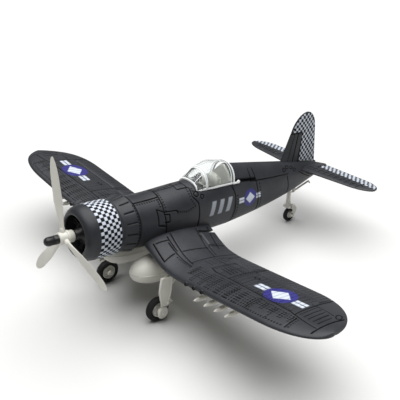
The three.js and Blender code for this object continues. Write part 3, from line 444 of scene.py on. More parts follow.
# ---------- Materials ----------
NAVY = (0.020, 0.0215, 0.026)
BLACK = (0.010, 0.010, 0.011)
ENGINE_GREY = (0.035, 0.035, 0.037)
RUBBER = (0.008, 0.008, 0.008)
IVORY = (0.55, 0.54, 0.49)
LINING = (0.52, 0.52, 0.47)
GLASS = (0.96, 0.98, 0.98)
# Pale grey given to the raised clear frames as a painted glint, for the light they catch.
EDGE_GLINT_GREY = (0.78, 0.80, 0.80)
WHITE_INK = (0.52, 0.56, 0.63)
BLUE_INK = (0.026, 0.024, 0.17)
# Near-black mixed in as painted shade in recessed lines, rivets, coves, slits and the rail groove, and as
# black print on check squares and the tank's seam.
PAINTED_SHADE_AND_BLACK = (0.002, 0.002, 0.002)
CLOUD_SCALE, GRAIN_SCALE = 70.0, 900.0
ROUGHNESS_SPREAD, BUMP_DISTANCE = 0.07, 0.0004


def finish_material(name, colour, roughness, mottle=0.12, bump=0.06, wear=0.10, see_through=False):
    """A procedural finish: mottled colour, uneven roughness, fine bump, lightened edges, and the marks that
    a piece carries as per-point numbers (near-black as painted shade in the recesses and as black print,
    white and blue ink)."""
    material = bpy.data.materials.new(name)
    material.use_nodes = True
    tree = material.node_tree
    nodes, links = tree.nodes, tree.links
    shader = nodes["Principled BSDF"]

    def node(kind, **inputs):
        made_node = nodes.new(kind)
        for key, value in inputs.items():
            made_node.inputs[key].default_value = value
        return made_node

    def blend_colour(factor, under, over):
        mixer = nodes.new("ShaderNodeMix")
        mixer.data_type = "RGBA"
        links.new(factor, mixer.inputs["Factor"])
        for socket, value in ((mixer.inputs[6], under), (mixer.inputs[7], over)):
            if isinstance(value, tuple):
                socket.default_value = (*value, 1)
            else:
                links.new(value, socket)
        return mixer.outputs[2]

    def scaled(value, low, high, start=0.0, stop=1.0):
        """A value moved from the range start to stop into the range low to high."""
        ramp = node("ShaderNodeMapRange", **{
            "From Min": start, "From Max": stop, "To Min": low, "To Max": high,
        })
        links.new(value, ramp.inputs["Value"])
        return ramp.outputs["Result"]

    place = node("ShaderNodeTexCoord").outputs["Object"]
    cloud = node("ShaderNodeTexNoise", Scale=CLOUD_SCALE, Detail=4.0, Roughness=0.6)
    fine = node("ShaderNodeTexNoise", Scale=GRAIN_SCALE, Detail=3.0, Roughness=0.6)
    links.new(place, cloud.inputs["Vector"])
    links.new(place, fine.inputs["Vector"])
    light = tuple(min(1.0, c * (1 + mottle) + 0.004) for c in colour)
    dark = tuple(c * (1 - mottle) for c in colour)
    shade = blend_colour(scaled(cloud.outputs["Fac"], 0, 1, 0.35, 0.65), dark, light)
    edges = scaled(nodes.new("ShaderNodeNewGeometry").outputs["Pointiness"], 0, wear, 0.53, 0.62)
    shade = blend_colour(edges, shade, tuple(min(1.0, c * 1.5 + 0.05) for c in colour))
    # The last layer is near-black: painted shade in the recesses, and black print where a piece carries
    # checks.
    for mark, ink in (("blue", BLUE_INK), ("white", WHITE_INK), ("wash", PAINTED_SHADE_AND_BLACK)):
        source = nodes.new("ShaderNodeAttribute")
        source.attribute_name = mark
        shade = blend_colour(source.outputs["Fac"], shade, ink)
    links.new(scaled(source.outputs["Fac"], 0.3, 0.0), shader.inputs["Specular IOR Level"])
    links.new(shade, shader.inputs["Base Color"])
    uneven = scaled(fine.outputs["Fac"], roughness - ROUGHNESS_SPREAD, roughness + ROUGHNESS_SPREAD)
    links.new(uneven, shader.inputs["Roughness"])
    relief = node("ShaderNodeBump", Strength=bump, Distance=BUMP_DISTANCE)
    links.new(fine.outputs["Fac"], relief.inputs["Height"])
    links.new(relief.outputs["Normal"], shader.inputs["Normal"])
    if see_through:
        shader.inputs["Transmission Weight"].default_value = 0.95
        shader.inputs["IOR"].default_value = 1.18
    return material


navy = finish_material("navy plastic", NAVY, 0.46, bump=0.10)
engine_grey = finish_material("engine plastic", ENGINE_GREY, 0.36, wear=0.4)
gloss_black = finish_material("black plastic", BLACK, 0.32, wear=0.2)
rubber = finish_material("black rubber", RUBBER, 0.75, bump=0.25, wear=0.05)
ivory = finish_material("ivory plastic", IVORY, 0.38, mottle=0.05, wear=0.25)
seat_plastic = finish_material("seat plastic", LINING, 0.5, mottle=0.06)
clear = finish_material("clear plastic", GLASS, 0.05, 0.0, 0.0, 0.0, see_through=True)
# The clear frames' pale grey is a painted glint.
glint_edges = finish_material("clear plastic edges with painted glint", EDGE_GLINT_GREY, 0.25, mottle=0.03, wear=0.3)


# ---------- Painted marks ----------
def checks(u, v, size):
    """1 on the white squares of a check pattern."""
    return ((np.floor(u / size) + np.floor(v / size)) % 2 == 0).astype(float)


def emblem(u, v, radius):
    """(white, blue) of a blue disc that carries a diamond, with a pair of stripes each side."""
    blue = unit(0.5 + (radius - np.hypot(u, v)) / 0.4)
    diamond = unit(0.5 + (0.74 * radius - np.abs(u) - np.abs(v) * 1.15) / 0.4)
    stripe = unit(0.5 + (0.13 * radius - np.abs(np.abs(v) - 0.17 * radius)) / 0.3)
    beside = unit(0.5 + (0.41 * radius - np.abs(np.abs(u) - 1.43 * radius)) / 0.3)
    return np.maximum(diamond, stripe * beside), blue


def slanted_bars(u, v, count, pitch, width, height):
    """1 on a row of leaning bars that starts at u = 0."""
    lean = u - 0.25 * v
    nearest = np.clip(np.round(lean / pitch), 0, count - 1) * pitch
    return unit(0.5 + (width / 2 - np.abs(lean - nearest)) / 0.3) * unit(0.5 + (height / 2 - np.abs(v)) / 0.3)


# ---------- Wing ----------
STEP = 0.36
GROOVE = 0.3
HINGE_GAP = dict(flap_inner=0.55, flap_outer=0.28, aileron=0.28)
WING_START = 9.5
TIP_CROWDING = 118
GUN_PLACES = (48.9, 55.0, 61.0)
RIB_PITCH = 2.4


def wing_marks():
    """Recessed lines and rivet rows on top of the left wing: (kind, start, end, ...), with places given as
    (x, share of the chord)."""
    lines = segments(
        ((16.2, 0.10), (17.4, 0.26)), ((15.6, 0.07), (28.0, 0.045), (26.8, 0.21)), ((19, 0.24), (41, 0.222)),
        ((15.2, 0.275), (26, 0.262)), ((14, 0.34), (39.5, 0.266)), ((27.4, 0.33), (28.7, 0.70)),
        ((13.6, 0.74), (37.6, 0.64)), ((14.6, 0.80), (36.6, 0.69)), ((13.0, 0.935), (31, 0.85)),
        ((48.9, 0.385), (53.8, 0.345), (62, 0.35), (106, 0.32), (123, 0.23)), ((49.4, 0.40), (50.2, 0.76)),
        ((45, 0.11), (44.8, 0.30)), ((107.8, 0.65), (120.6, 0.72)), ((123.8, 0.08), (124.6, 0.9)),
        ((63.5, 0.35), (63.8, 0.99)), ((109.4, 0.3), (109.4, 0.97)), ((38, 0.28), (38.6, 0.98)),
        ((27.6, 0.78), (28.2, 0.98)), ((88.6, 0.045), (88.8, 0.30)), ((112.6, 0.05), (112.4, 0.25)),
        ((40, 0.60), (63.5, 0.60)),
    )
    lines += [((52.5, share), (61, share - 0.02)) for share in (0.46, 0.51, 0.56)]
    rows = segments(
        ((55.5, 0.30), (77, 0.298)), ((60, 0.05), (86, 0.05)), ((60, 0.09), (86, 0.09)),
        ((90, 0.28), (112, 0.26)), ((51, 0.42), (51.6, 0.74)), ((44, 0.12), (43.6, 0.30)),
        ((46.2, 0.12), (46.0, 0.30)), ((66, 0.38), (106, 0.345)), ((41, 0.20), (30, 0.205)),
        ((66, 0.74), (106, 0.74)), ((64.8, 0.4), (65.0, 0.74)), ((52, 0.72), (62, 0.70)),
        ((53, 0.64), (62.5, 0.64)), ((91, 0.05), (110, 0.06)), ((89.8, 0.05), (90.0, 0.27)),
        ((87.4, 0.05), (87.6, 0.27)), ((75, 0.12), (75.2, 0.28)), ((101, 0.07), (101, 0.26)),
        ((113.8, 0.07), (113.6, 0.24)), ((41.5, 0.64), (42, 0.96)), ((56.6, 0.38), (57, 0.72)),
    )
    for low, high, shares in (
        (46, 87, (0.13, 0.17, 0.21, 0.25)), (91, 111, (0.19, 0.225)),
        (41, 46, (0.44, 0.50, 0.56, 0.66, 0.72)),
    ):
        rows += [((low, share), (high, share)) for share in shares]
    doubled = ((49, 86, 6.2, 1.5, 0.05, 0.29), (94, 111, 5.6, 1.4, 0.15, 0.25))
    for low, high, pitch, pair, front, rear in doubled:
        rows += [((x + d, front), (x + d, rear)) for x in np.arange(low, high, pitch) for d in (0, pair)]
    ribs = [((x, 0.38), (x + 0.2, 0.74)) for x in np.arange(66.4, 108, 2.8)]
    slots = [((x, 0.34), (x + 0.1, 0.66)) for x in np.arange(111, 122, 2.6)]
    caps = (((21.6, 0.757), (2.6, 0.9)), ((71.6, 0.63), (1.6, 1.0)), ((122.4, 0.80), (1.5, 3.0)))
    return (
        [(seam, *line) for line in lines] + [(rivets, *row) for row in rows]
        + [(rivets, *rib, 1.0, 0.3) for rib in ribs] + [(seam, *slot, 0.4) for slot in slots]
        + [(oval, *cap) for cap in caps]
    )


def even_plan(x, share):
    """(u, v) in millimetres of places on the wing's plan."""
    lead, trail = across_span(x, WING["lead"]), across_span(x, WING["trail"])
    return x, lead + share * (trail - lead)


def placed(marks):
    """Marks given in (x, share) moved to millimetres on the plan."""
    out = []
    for kind, start, end, *rest in marks:
        start = tuple(float(n) for n in even_plan(*start))
        if kind is not oval:
            end = tuple(float(n) for n in even_plan(*end))
        out.append((kind, start, end, *rest))
    return out


UPPER_MARKS = placed(wing_marks())
LOWER_MARKS = placed([
    (seam, (30, 0.05), (30, 0.75)), (seam, (64, 0.05), (64, 0.95)), (seam, (99, 0.3), (126, 0.3)),
    (rivets, (99.5, 0.08), (99.5, 0.9)), (rivets, (110, 0.1), (110, 0.9)), (rivets, (112, 0.32), (124, 0.32)),
    (seam, (28, 0.72), (98, 0.72)),
])
EMBLEM_AT = (92.6, 72.3)
EMBLEM_RADIUS = 8.3


def wing_paint(x, y):
    """Ink on the upper surface, the same way round on both wings."""
    return emblem(x - EMBLEM_AT[0], y - EMBLEM_AT[1], EMBLEM_RADIUS)


def hinge_line(name):
    """The two ends of a hinged wing surface's axis, and its nose radius at both."""
    low, high = HINGED[name]
    ends = [wing_points(x, HINGE_SHARE, 0) for x in (low, high)]
    radii = [
        float(foil(HINGE_SHARE) * wing_chord(x)[2] + 0.5 * WING["edge"] * HINGE_SHARE) - 0.1
        for x in (low, high)
    ]
    return ends, radii


def arc_points(centre, radius, start, stop, count):
    """Points round a spanwise axis; 90 degrees is up and 180 forwards."""
    angle = np.radians(np.linspace(start, stop, count))
    return np.stack([
        np.full(count, centre[0]), centre[1] + radius * np.cos(angle), centre[2] + radius * np.sin(angle),
    ], -1)


def wing_ring(x, cut=None, upper_count=112, lower_count=40):
    """One section ring of the fixed wing and its marks; cut names the hinged surface behind it, if any."""
    lead, trail, _ = wing_chord(x)
    end, cove = 1.0, np.zeros((0, 3))
    if cut:
        (start, stop), radii = hinge_line(cut)
        t = (x - start[0]) / (stop[0] - start[0])
        centre, radius = mix(start, stop, t), mix(radii[0], radii[1], t)
        room = radius + HINGE_GAP[cut]
        opening = math.sqrt(room**2 - radius**2) + 0.1
        end = (centre[1] - opening - lead) / (trail - lead)
        half = math.degrees(math.atan2(radius, opening))
        cove = arc_points(centre, room, 180 + half, 180 - half, 7)
    upper_share = np.linspace(1, 0, upper_count) ** 1.4 * end
    lower_share = np.linspace(0, 1, lower_count)[1:] ** 1.4 * end
    upper, lower = wing_points(x, upper_share, 1), wing_points(x, lower_share, -1)
    u, v = even_plan(np.full_like(upper_share, x), upper_share)
    # Recessed lines and rivets: the same numbers sink the skin and darken it as painted shade.
    top_painted_shade = strongest(u, v, UPPER_MARKS)
    white, blue = wing_paint(upper[:, 0], upper[:, 1])
    upper[:, 2] -= GROOVE * top_painted_shade * unit(upper_share * 60)
    u, v = even_plan(np.full_like(lower_share, x), lower_share)
    # The underside's recessed lines and rivets, darkened the same way as painted shade.
    low_painted_shade = strongest(u, v, LOWER_MARKS)
    on_panel = (
        (x > LOWER_PANEL["inner"]) & (x < LOWER_PANEL["outer"])
        & (lower_share > LOWER_PANEL["lead"]) & (lower_share < LOWER_PANEL["trail"])
    )
    lower[:, 2] += GROOVE * low_painted_shade + LOWER_PANEL["depth"] * on_panel
    ring = np.concatenate([upper, lower, cove])
    spare = np.zeros(len(lower) + len(cove))
    # The hinge cove is darkened to 0.6 as painted shade.
    wash = np.concatenate([top_painted_shade, low_painted_shade * ~on_panel, np.full(len(cove), 0.6)])
    return ring, wash, np.concatenate([white, spare]), np.concatenate([blue, spare])


def fixed_wing():
    """The wing but for its hinged surfaces, from inside the fuselage to the round tip."""
    shape = Shape()
    over = 0.25
    end = WING["tip"] - 0.03
    stops = [WING_START, *HINGED["flap_inner"], *HINGED["flap_outer"], *HINGED["aileron"], end]
    cuts = [None, "flap_inner", None, "flap_outer", None, "aileron", None]
    for low, high, cut in zip(stops, stops[1:], cuts, strict=False):
        if cut:
            low, high = low - over, high + over
        elif low > WING_START:
            low += over
        if high == end:
            crowded = TIP_CROWDING + (end - TIP_CROWDING) * np.linspace(0, 1, 70) ** 0.6
            places = np.concatenate([steps_between(low, TIP_CROWDING, STEP)[:-1], crowded])
        else:
            places = steps_between(low, high if cut else high - over, STEP)
        parts = [wing_ring(float(x), cut) for x in places]
        ring, wash, white, blue = (np.stack(values) for values in zip(*parts, strict=True))
        loft(shape, ring, wash=wash, white=white, blue=blue)
    return shape


def square_to(points, centre, along):
    """The span places that put points in the plane through centre that is square to a hinge line."""
    behind = (points[:, 1:] - centre[1:]) @ along[1:]
    return centre[0] - behind / along[0]


def moving_wing(name, trim=0.35, outer_trim=0.35, square=False):
    """A flap or aileron: a round nose on its hinge line, and the rest of the section behind it. Where the
    hinge line slopes steeply the sections are square to it, so that the ends turn clear of the wing."""
    (start, stop), radii = hinge_line(name)
    low, high = HINGED[name]
    rings, fields = [], []
    for x in steps_between(low + trim, high - outer_trim, STEP):
        x = float(x)
        t = (x - low) / (high - low)
        centre, radius = mix(start, stop, t), mix(radii[0], radii[1], t)
        nose = arc_points(centre, radius, 268, 92, 13)[::-1]
        share = np.linspace(HINGE_SHARE + 0.004, 1, 32)
        upper_x = lower_x = np.full_like(share, x)
        if square:
            nose[:, 0] = square_to(nose, centre, stop - start)
            for _ in range(3):
                upper_x = square_to(wing_points(upper_x, share[::-1], 1), centre, stop - start)
                lower_x = square_to(wing_points(lower_x, share, -1), centre, stop - start)
        upper, lower = wing_points(upper_x, share[::-1], 1), wing_points(lower_x, share, -1)
        u, v = even_plan(upper_x, share[::-1])
        ridge = 0.0 if square else 0.5 + 0.5 * np.cos(2 * math.pi * (x - low) / RIB_PITCH)
        ribs = unit(ridge * 2 - 1.1) * ((share[::-1] > 0.82) & (share[::-1] < 0.97))
        # The grooves between the ribs are darkened as painted shade.
        wash = np.maximum(strongest(u, v, UPPER_MARKS), 0.55 * ribs)
        upper[:, 2] -= 0.22 * wash
        rings.append(np.concatenate([upper[:-1], nose, lower[1:]]))
        spare = np.zeros(len(nose) + len(lower) - 1)
        inks = (wash[:-1], *wing_paint(upper[:-1, 0], upper[:-1, 1]))
        fields.append([np.concatenate([ink, spare]) for ink in inks])
    wash, white, blue = (np.stack(values) for values in zip(*fields, strict=True))
    return loft(Shape(), rings, wash=wash, white=white, blue=blue)


def lower_panel():
    """The ivory plate let into the underside, with rivet rows."""
    places = steps_between(LOWER_PANEL["inner"] + 0.4, LOWER_PANEL["outer"] - 0.4, 0.6)
    share = np.linspace(LOWER_PANEL["lead"] + 0.012, LOWER_PANEL["trail"] - 0.012, 64)
    marks = placed(
        [(rivets, (x, 0.12), (x, 0.66), 1.7) for x in np.arange(19, 97, 6.5)]
        + [(rivets, (17, s), (96, s), 1.7) for s in (0.14, 0.34, 0.55)]
        + [(seam, (31, 0.1), (31, 0.68)), (seam, (63, 0.1), (63, 0.68))]
    )
    outer, inner, painted_shade_and_black_rows = [], [], []
    for x in places:
        x = float(x)
        skin = wing_points(x, share, -1)
        u, v = even_plan(np.full_like(share, x), share)
        wash = strongest(u, v, marks)
        # A light painted shade in the plate's rivets and seams.
        painted_shade_and_black_rows.append(0.25 * wash)
        outer.append(skin + np.outer(0.2 * wash - 0.05, (0, 0, 1)))
        inner.append(skin + (0, 0, LOWER_PANEL["depth"] - 0.15))
    rings = np.concatenate([np.array(outer), np.array(inner)[:, ::-1]], axis=1)
    wash = np.stack(painted_shade_and_black_rows)
    return loft(Shape(), rings, wash=np.concatenate([wash, np.zeros_like(wash)], axis=1))


def gun_ports():
    """Three dark tubes in the leading edge."""
    shape = Shape()
    tube = ((0, 3), (1.25, 3), (1.25, -0.3), (1.0, -0.5), (0.8, -0.3), (0.7, 1.6), (0, 1.6))
    for x in GUN_PLACES:
        lead = float(wing_chord(x)[0])
        lathe(shape, [(r, lead + y) for r, y in tube], 20, (x, 0, float(wing_level(x))))
    return shape


both_sides("wing_skin_left", fixed_wing(), navy, "wing_upper_left")
both_sides("wing_panel_left", lower_panel(), ivory, "wing_lower_left")
both_sides("gun_ports_left", gun_ports(), gloss_black)
for name, ends in (("flap_inner", (0.7, 0.95, True)), ("flap_outer", ()), ("aileron", ())):
    both_sides(name + "_skin_left", moving_wing(name, *ends), navy, name + "_left", name + "_left")


# ---------- Fuselage ----------
DEGREE = 0.244
HULL_STEP, HULL_GROOVE = 0.38, 0.32
MIDLINE = 0.02
EMBLEM_Y, EMBLEM_Z, SIDE_EMBLEM = 130.7, 1.1, 5.3
BARS_Y, BARS_Z = 99.7, 1.2
TUB = dict(half=8.4, floor=1.2)
PANEL_BED = -10.6


def fuselage_marks():
    """Recessed lines, rivet rows and rings on the left side, with places given as (y, degrees)."""
    lines = segments(
        ((48.2, 66), (65, 67)), ((65.4, 90), (64.4, 24), (66.5, -40)), ((65.1, -4), (60, 1), (60.2, 38)),
        ((60.2, 38), (64.6, 28), (73, 24), (73.4, 18)), ((64.6, 23), (67.8, 20), (67.6, 3), (64.3, 5)),
        ((78.9, 96), (78.7, 71), (85.7, 69)), ((78.9, 90), (85, 90), (85.4, 69)),
        ((86.3, 68), (85.8, 42), (88.8, 26), (89.2, -26), (90, -60)), ((65.4, 88), (78, 86)),
        ((115.8, 40), (117.9, 20), (118, -80)), ((136.4, 64), (138, 0), (140.6, -70)), ((132, 38), (168, 34)),
        ((167, 28), (169, -20), (170, -80)), ((180, 30), (192, -13)), ((48.5, 90), (48.5, -90)),
        ((132.6, 64), (132.8, 43)), ((140, 90), (168, 90)), ((187.5, 15), (204, -50)),
    )
    rows = segments(
        ((47.2, 60), (64.6, 60)), ((46.4, 88), (46.4, -60)), ((47.8, 60), (47.4, -40)),
        ((66.6, 84), (65.8, 30)), ((63.6, 60), (63.2, 42)), ((84.4, 64), (84.2, 37), (86, 22)),
        ((87.6, 62), (87.4, 48)),
        ((73.8, 20), (79.6, 15), (86, 21)), ((119.6, 18), (119.6, -60)), ((139.6, 30), (141.4, -30)),
    )
    rings = (
        (88.9, 46, 1.5), (92.4, 37, 1.1), (165, 47, 1.3), (168.6, 54, 1.3), (172.5, 51, 1.3),
        (175.4, 41, 1.3),
    )
    marks = [(seam, (y0, a0 * DEGREE), (y1, a1 * DEGREE)) for (y0, a0), (y1, a1) in lines]
    marks += [(rivets, (y0, a0 * DEGREE), (y1, a1 * DEGREE), 1.6, 0.44) for (y0, a0), (y1, a1) in rows]
    marks += [(oval, (y, a * DEGREE), (r, r), 0.75) for y, a, r in rings]
    # A wide band of painted shade along the groove of the hood's rail.
    marks.append((seam, (119.5, 43 * DEGREE), (136.5, 41 * DEGREE), 1.6))
    return marks


FUSELAGE_MARKS = fuselage_marks()


def hood_inner_half(z):
    """Half width left for the spine under the canopy hood when it is slid back."""
    height = unit((z - CANOPY["base"]) / 9.9) ** (2 / 0.86)
    return (CANOPY["half"] - CANOPY["wall"] - 0.4) * (1 - height) ** 0.46


def fuselage_row(y, low, high, inside, count=124):
    """One ring of the left half: its skin from low to high degrees, then the points that close it inside."""
    degrees = np.linspace(low, high, count)
    skin = fuselage_points(y, degrees)
    # Recessed lines, rivets and rings, darkened as painted shade.
    wash = strongest(np.full(count, y), degrees * DEGREE, FUSELAGE_MARKS)
    white, blue = emblem(y - EMBLEM_Y, skin[:, 2] - EMBLEM_Z, SIDE_EMBLEM)
    bars = slanted_bars(y - BARS_Y, skin[:, 2] - BARS_Z, count=3, pitch=6.4, width=3.1, height=8.4)
    white = np.maximum(white, 0.55 * bars)
    inward = np.array([0, y, station_values(y)[3] * 0.5]) - skin
    inward /= np.linalg.norm(inward, axis=1, keepdims=True)
    skin = skin + inward * (HULL_GROOVE * wash)[:, None]
    if RAIL["front"] - 1 < y < RAIL["rear"]:
        room = np.where(skin[:, 2] > RAIL["low"], hood_inner_half(skin[:, 2]), np.inf)
        # Where the skin is pulled in for the hood's rail, it is darkened as painted shade.
        wash = np.maximum(wash, np.where(skin[:, 0] > room, 0.7, 0))
        skin[:, 0] = np.minimum(skin[:, 0], room)
    skin[:, 0] = np.maximum(skin[:, 0], MIDLINE)
    inner = np.array([(x, y, z) for x, z in inside])
    spare = np.zeros(len(inner))
    return np.concatenate([skin, inner]), [np.concatenate([f, spare]) for f in (wash, white, blue)]


def belly_angle(y):
    """The angle below which the belly panel takes over from the skin."""
    edge = BELLY["half"] + BELLY["gap"]
    return -math.degrees(math.acos((edge / station_values(y)[0]) ** (BELLY_EXPONENT / 2)))


def fuselage_half():
    """The left half of the fuselage in stretches, with the cockpit and the belly panel's bed left open."""
    shape = Shape()
    tub = [(TUB["half"], COCKPIT["sill"]), (TUB["half"], TUB["floor"]), (MIDLINE, TUB["floor"])]
    bed = [(MIDLINE, PANEL_BED), (BELLY["half"] + BELLY["gap"], PANEL_BED)]
    nose, tail = float(NOSE_STATIONS[0, 0]), float(TAIL_STATIONS[-1, 0])
    stops = (nose, BELLY["front"], COCKPIT["front"], BELLY["rear"], BULKHEAD - CLEAR)
    stretches = [*zip(stops, stops[1:], strict=False), (BULKHEAD, tail)]
    for start, stop in stretches:
        belly = BELLY["front"] <= start < BELLY["rear"]
        cockpit = COCKPIT["front"] <= start < BULKHEAD
        rings, fields = [], []
        for y in steps_between(start, stop, HULL_STEP):
            y = float(y)
            low = belly_angle(y) if belly else -90
            high = side_angle(y, COCKPIT["sill"]) if cockpit else 90
            inside = (tub if cockpit else [(MIDLINE, station_values(y)[3])]) + (bed if belly else [])
            ring, field = fuselage_row(y, low, high, inside)
            rings.append(ring)
            fields.append(field)
        wash, white, blue = (np.stack(values) for values in zip(*fields, strict=True))
        loft(shape, rings, wash=wash, white=white, blue=blue)
    return shape


def belly_panel():
    """The ivory plate under the fuselage, with rivet rows."""
    marks = [(rivets, (x, 57), (x, 96), 1.7) for x in (-6.4, -3.2, 3.2, 6.4)]
    marks += [(rivets, (-6, v), (6, v), 1.7) for v in range(58, 97, 8)]
    marks += [(seam, (-7, v), (7, v)) for v in (66, 84)]
    back = PANEL_BED - 0.4
    rings, painted_shade_and_black_rows = [], []
    for y in steps_between(BELLY["front"] + CLEAR, BELLY["rear"] - CLEAR, 0.55):
        edge = min(1, (BELLY["half"] / station_values(y)[0]) ** (BELLY_EXPONENT / 2))
        limit = 90 + math.degrees(math.asin(edge))
        skin = fuselage_points(y, np.linspace(-limit, -180 + limit, 70))
        wash = strongest(skin[:, 0], np.full(len(skin), y), marks)
        # A light painted shade in the plate's rivets and seams.
        painted_shade_and_black_rows.append(np.concatenate([0.25 * wash, [0, 0]]))
        skin[:, 2] += 0.2 * wash
        rings.append(np.concatenate([skin, [(skin[-1, 0], y, back), (skin[0, 0], y, back)]]))
    return loft(Shape(), rings, wash=np.stack(painted_shade_and_black_rows))


both_sides("hull_left", fuselage_half(), navy, "fuselage_left")
piece("hull_belly", belly_panel(), ivory, "belly_panel")


# ---------- Cockpit ----------
def slab_pair(shape, near, far, y, z, soft=0.25):
    """Two softened boxes, the same on both sides of the middle."""
    for side in (-1, 1):
        slab(shape, sorted((side * far, side * near)), y, z, soft)


def cockpit_lining():
    """Walls, floor, side consoles with their levers and trim wheels, and the rear bulkhead."""
    shape = Shape()
    length = (91.8, 116.4)
    slab(shape, (-8.2, 8.2), length, (1.4, 2.2))
    slab_pair(shape, 7.4, 8.25, length, (1.8, 11.6))
    slab_pair(shape, 4.9, 7.4, (94, 108), (2.0, 7.4))
    for side in (-1, 1):
        for y in 95.8 + 2.3 * np.arange(5):
            rod(shape, (side * 6.1, y, 7.3), (side * 6.1, y, 8.3), 0.42, sides=10)
        lathe(shape, [(0, 0), (1.3, 0), (1.3, 0.4), (0, 0.4)], 16, (side * 7.0, 99, 8.6), axis="x")
    rings = []
    for y, grow in ((115.4, -0.9), (115.8, -0.5), (116.8, -0.5)):
        ring = fuselage_points(117.0, np.linspace(-20, 200, 60), grow)
        ring[:, 1] = y
        rings.append(ring)
    loft(shape, rings)
    return shape


def seat():
    """A bucket seat with raised sides and the round head pad."""
    shape = Shape()
    slab(shape, (-3.6, 3.6), (103.6, 111.6), (5.4, 6.8), 0.5)
    slab(shape, (-3.6, 3.6), (110.6, 112.4), (5.6, 14.4), 0.6)
    slab_pair(shape, 2.9, 3.7, (104.4, 111.6), (6.4, 9.2), 0.35)
    slab_pair(shape, 1.0, 1.9, (103.5, 111), (6.7, 7.1), 0.15)
    turn = circle(36)
    rings = []
    for rise in np.radians(np.linspace(-90, 90, 22)):
        reach = max(4.4 * math.cos(rise), 0.02)
        height = np.full(36, 12.6 + 4.6 * math.sin(rise))
        rings.append(np.stack([reach * np.cos(turn), 109 + 0.62 * reach * np.sin(turn), height], -1))
    return loft(shape, rings)


def dashboard():
    """The instrument panel with two rows of round dials, a coaming and the gunsight."""
    shape = Shape()
    slab(shape, (-7.2, 7.2), (94.6, 95.8), (4.0, 13.2), 0.3)
    slab(shape, (-7.0, 7.0), (91.6, 96.4), (13.0, 14.0), 0.4)
    dials = [(-4.8, 10.8, 1.2), (-1.6, 11.0, 1.4), (1.8, 11.0, 1.4), (4.9, 10.8, 1.2)]
    dials += [(x, 7.6, 1.1) for x in (-4.2, -1.3, 1.5, 4.3)]
    for x, z, r in dials:
        outline = [(0, 95.7), (r, 95.7), (r, 96.15), (r - 0.25, 96.15), (r - 0.3, 95.95), (0, 95.95)]
        lathe(shape, outline, 20, (x, 0, z))
    slab(shape, (-1.4, 1.4), (95.0, 99.4), (14.0, 17.6), 0.4)
    rod(shape, (0, 96.4, 17.4), (0, 98.8, 18.3), 1.1)
    return shape


def stick():
    shape = Shape()
    rod(shape, (0, 100.6, 2.2), (0, 101.6, 8.8), 0.45)
    rod(shape, (0, 101.6, 8.6), (0, 101.3, 10.8), 0.75)
    lathe(shape, [(0, 0), (1.1, 0), (0.9, 0.7), (0.45, 1.1), (0, 1.1)], 18, (0, 100.6, 2.2))
    return shape


piece("cockpit_lining", cockpit_lining(), seat_plastic, "cockpit_tub")
piece("bucket_seat", seat(), seat_plastic, "pilot_seat")
piece("dashboard", dashboard(), gloss_black, "instrument_panel")
piece("stick", stick(), gloss_black, "control_stick")


# ---------- Canopy ----------
def canopy_size(y):
    """Half width at the base and height of the crown above it, at one distance aft."""
    rise = math.sin(unit((y - CANOPY["front"]) / (CANOPY["peak"] - CANOPY["front"])) * math.pi / 2) ** 0.95
    if y < CANOPY["peak"]:
        top = mix(16.2, 25.4, rise)
    else:
        top = mix(25.4, 22.9, unit((y - CANOPY["peak"]) / 13) ** 1.7)
    half = CANOPY["half"] * mix(0.86, 1, math.sin(unit((y - CANOPY["front"]) / 13) * math.pi / 2))
    return half, top - CANOPY["base"]


def canopy_ring(y, inset, low=0.0, high=180.0, count=73):
    half, height = canopy_size(float(y))
    angle = np.radians(np.linspace(low, high, count))
    return np.stack([
        (half - inset) * signed_power(np.cos(angle), 0.92), np.full(count, float(y)),
        CANOPY["base"] + (height - inset) * np.abs(np.sin(angle)) ** 0.86,
    ], -1)


def curved_pane(shape, start, stop, outer=0.0, inner=None, low=0.0, high=180.0, count=73):
    """A closed strip of canopy between two distances aft and two angles round it."""
    inner = CANOPY["wall"] if inner is None else inner
    rings = []
    for y in steps_between(start, stop, 0.4):
        outside, inside = canopy_ring(y, outer, low, high, count), canopy_ring(y, inner, low, high, count)
        rings.append(np.concatenate([outside, inside[::-1]]))
    return loft(shape, rings)


def glass(start, stop):
    return curved_pane(Shape(), start, stop)


def windscreen_frame():
    """The arch at the rear of the windscreen, its two side posts, sills and foot."""
    shape = Shape()
    front, split = CANOPY["front"], CANOPY["split"]
    curved_pane(shape, split - 0.8, split - 0.2, -0.15, 0.2)
    for low, high in ((0, 3), (177, 180), (53.5, 55.5), (124.5, 126.5)):
        curved_pane(shape, front + 0.3, split - 0.4, -0.12, 0.3, low, high, 9)
    curved_pane(shape, front + 0.05, front + 0.5, -0.1, 0.7)
    return shape


def hood_frame():
    """The hood's moulded edges: front and rear arches, sills, and a rail tab and stud behind each side."""
    shape = Shape()
    split, rear = CANOPY["split"], CANOPY["rear"]
    arches = (
        (split + 0.2, split + 0.7, -0.12), (rear - 1.0, rear - 0.1, -0.25), (rear - 2.8, rear - 2.4, -0.12),
    )
    for start, stop, outer in arches:
        curved_pane(shape, start, stop, outer, 0.3)
    for low, high in ((0, 3), (177, 180)):
        curved_pane(shape, split + 0.3, rear - 0.2, -0.15, 0.3, low, high, 7)
    slab_pair(shape, 9.1, 9.9, (rear - 1.5, rear + 3.2), (11.7, 12.9))
    stud = [(0, -0.35), (1.0, -0.35), (1.0, 0.35), (0, 0.35)]
    for side in (-1, 1):
        lathe(shape, stud, 20, (side * 9.5, rear + 3.0, 12.6), axis="x")
    return shape


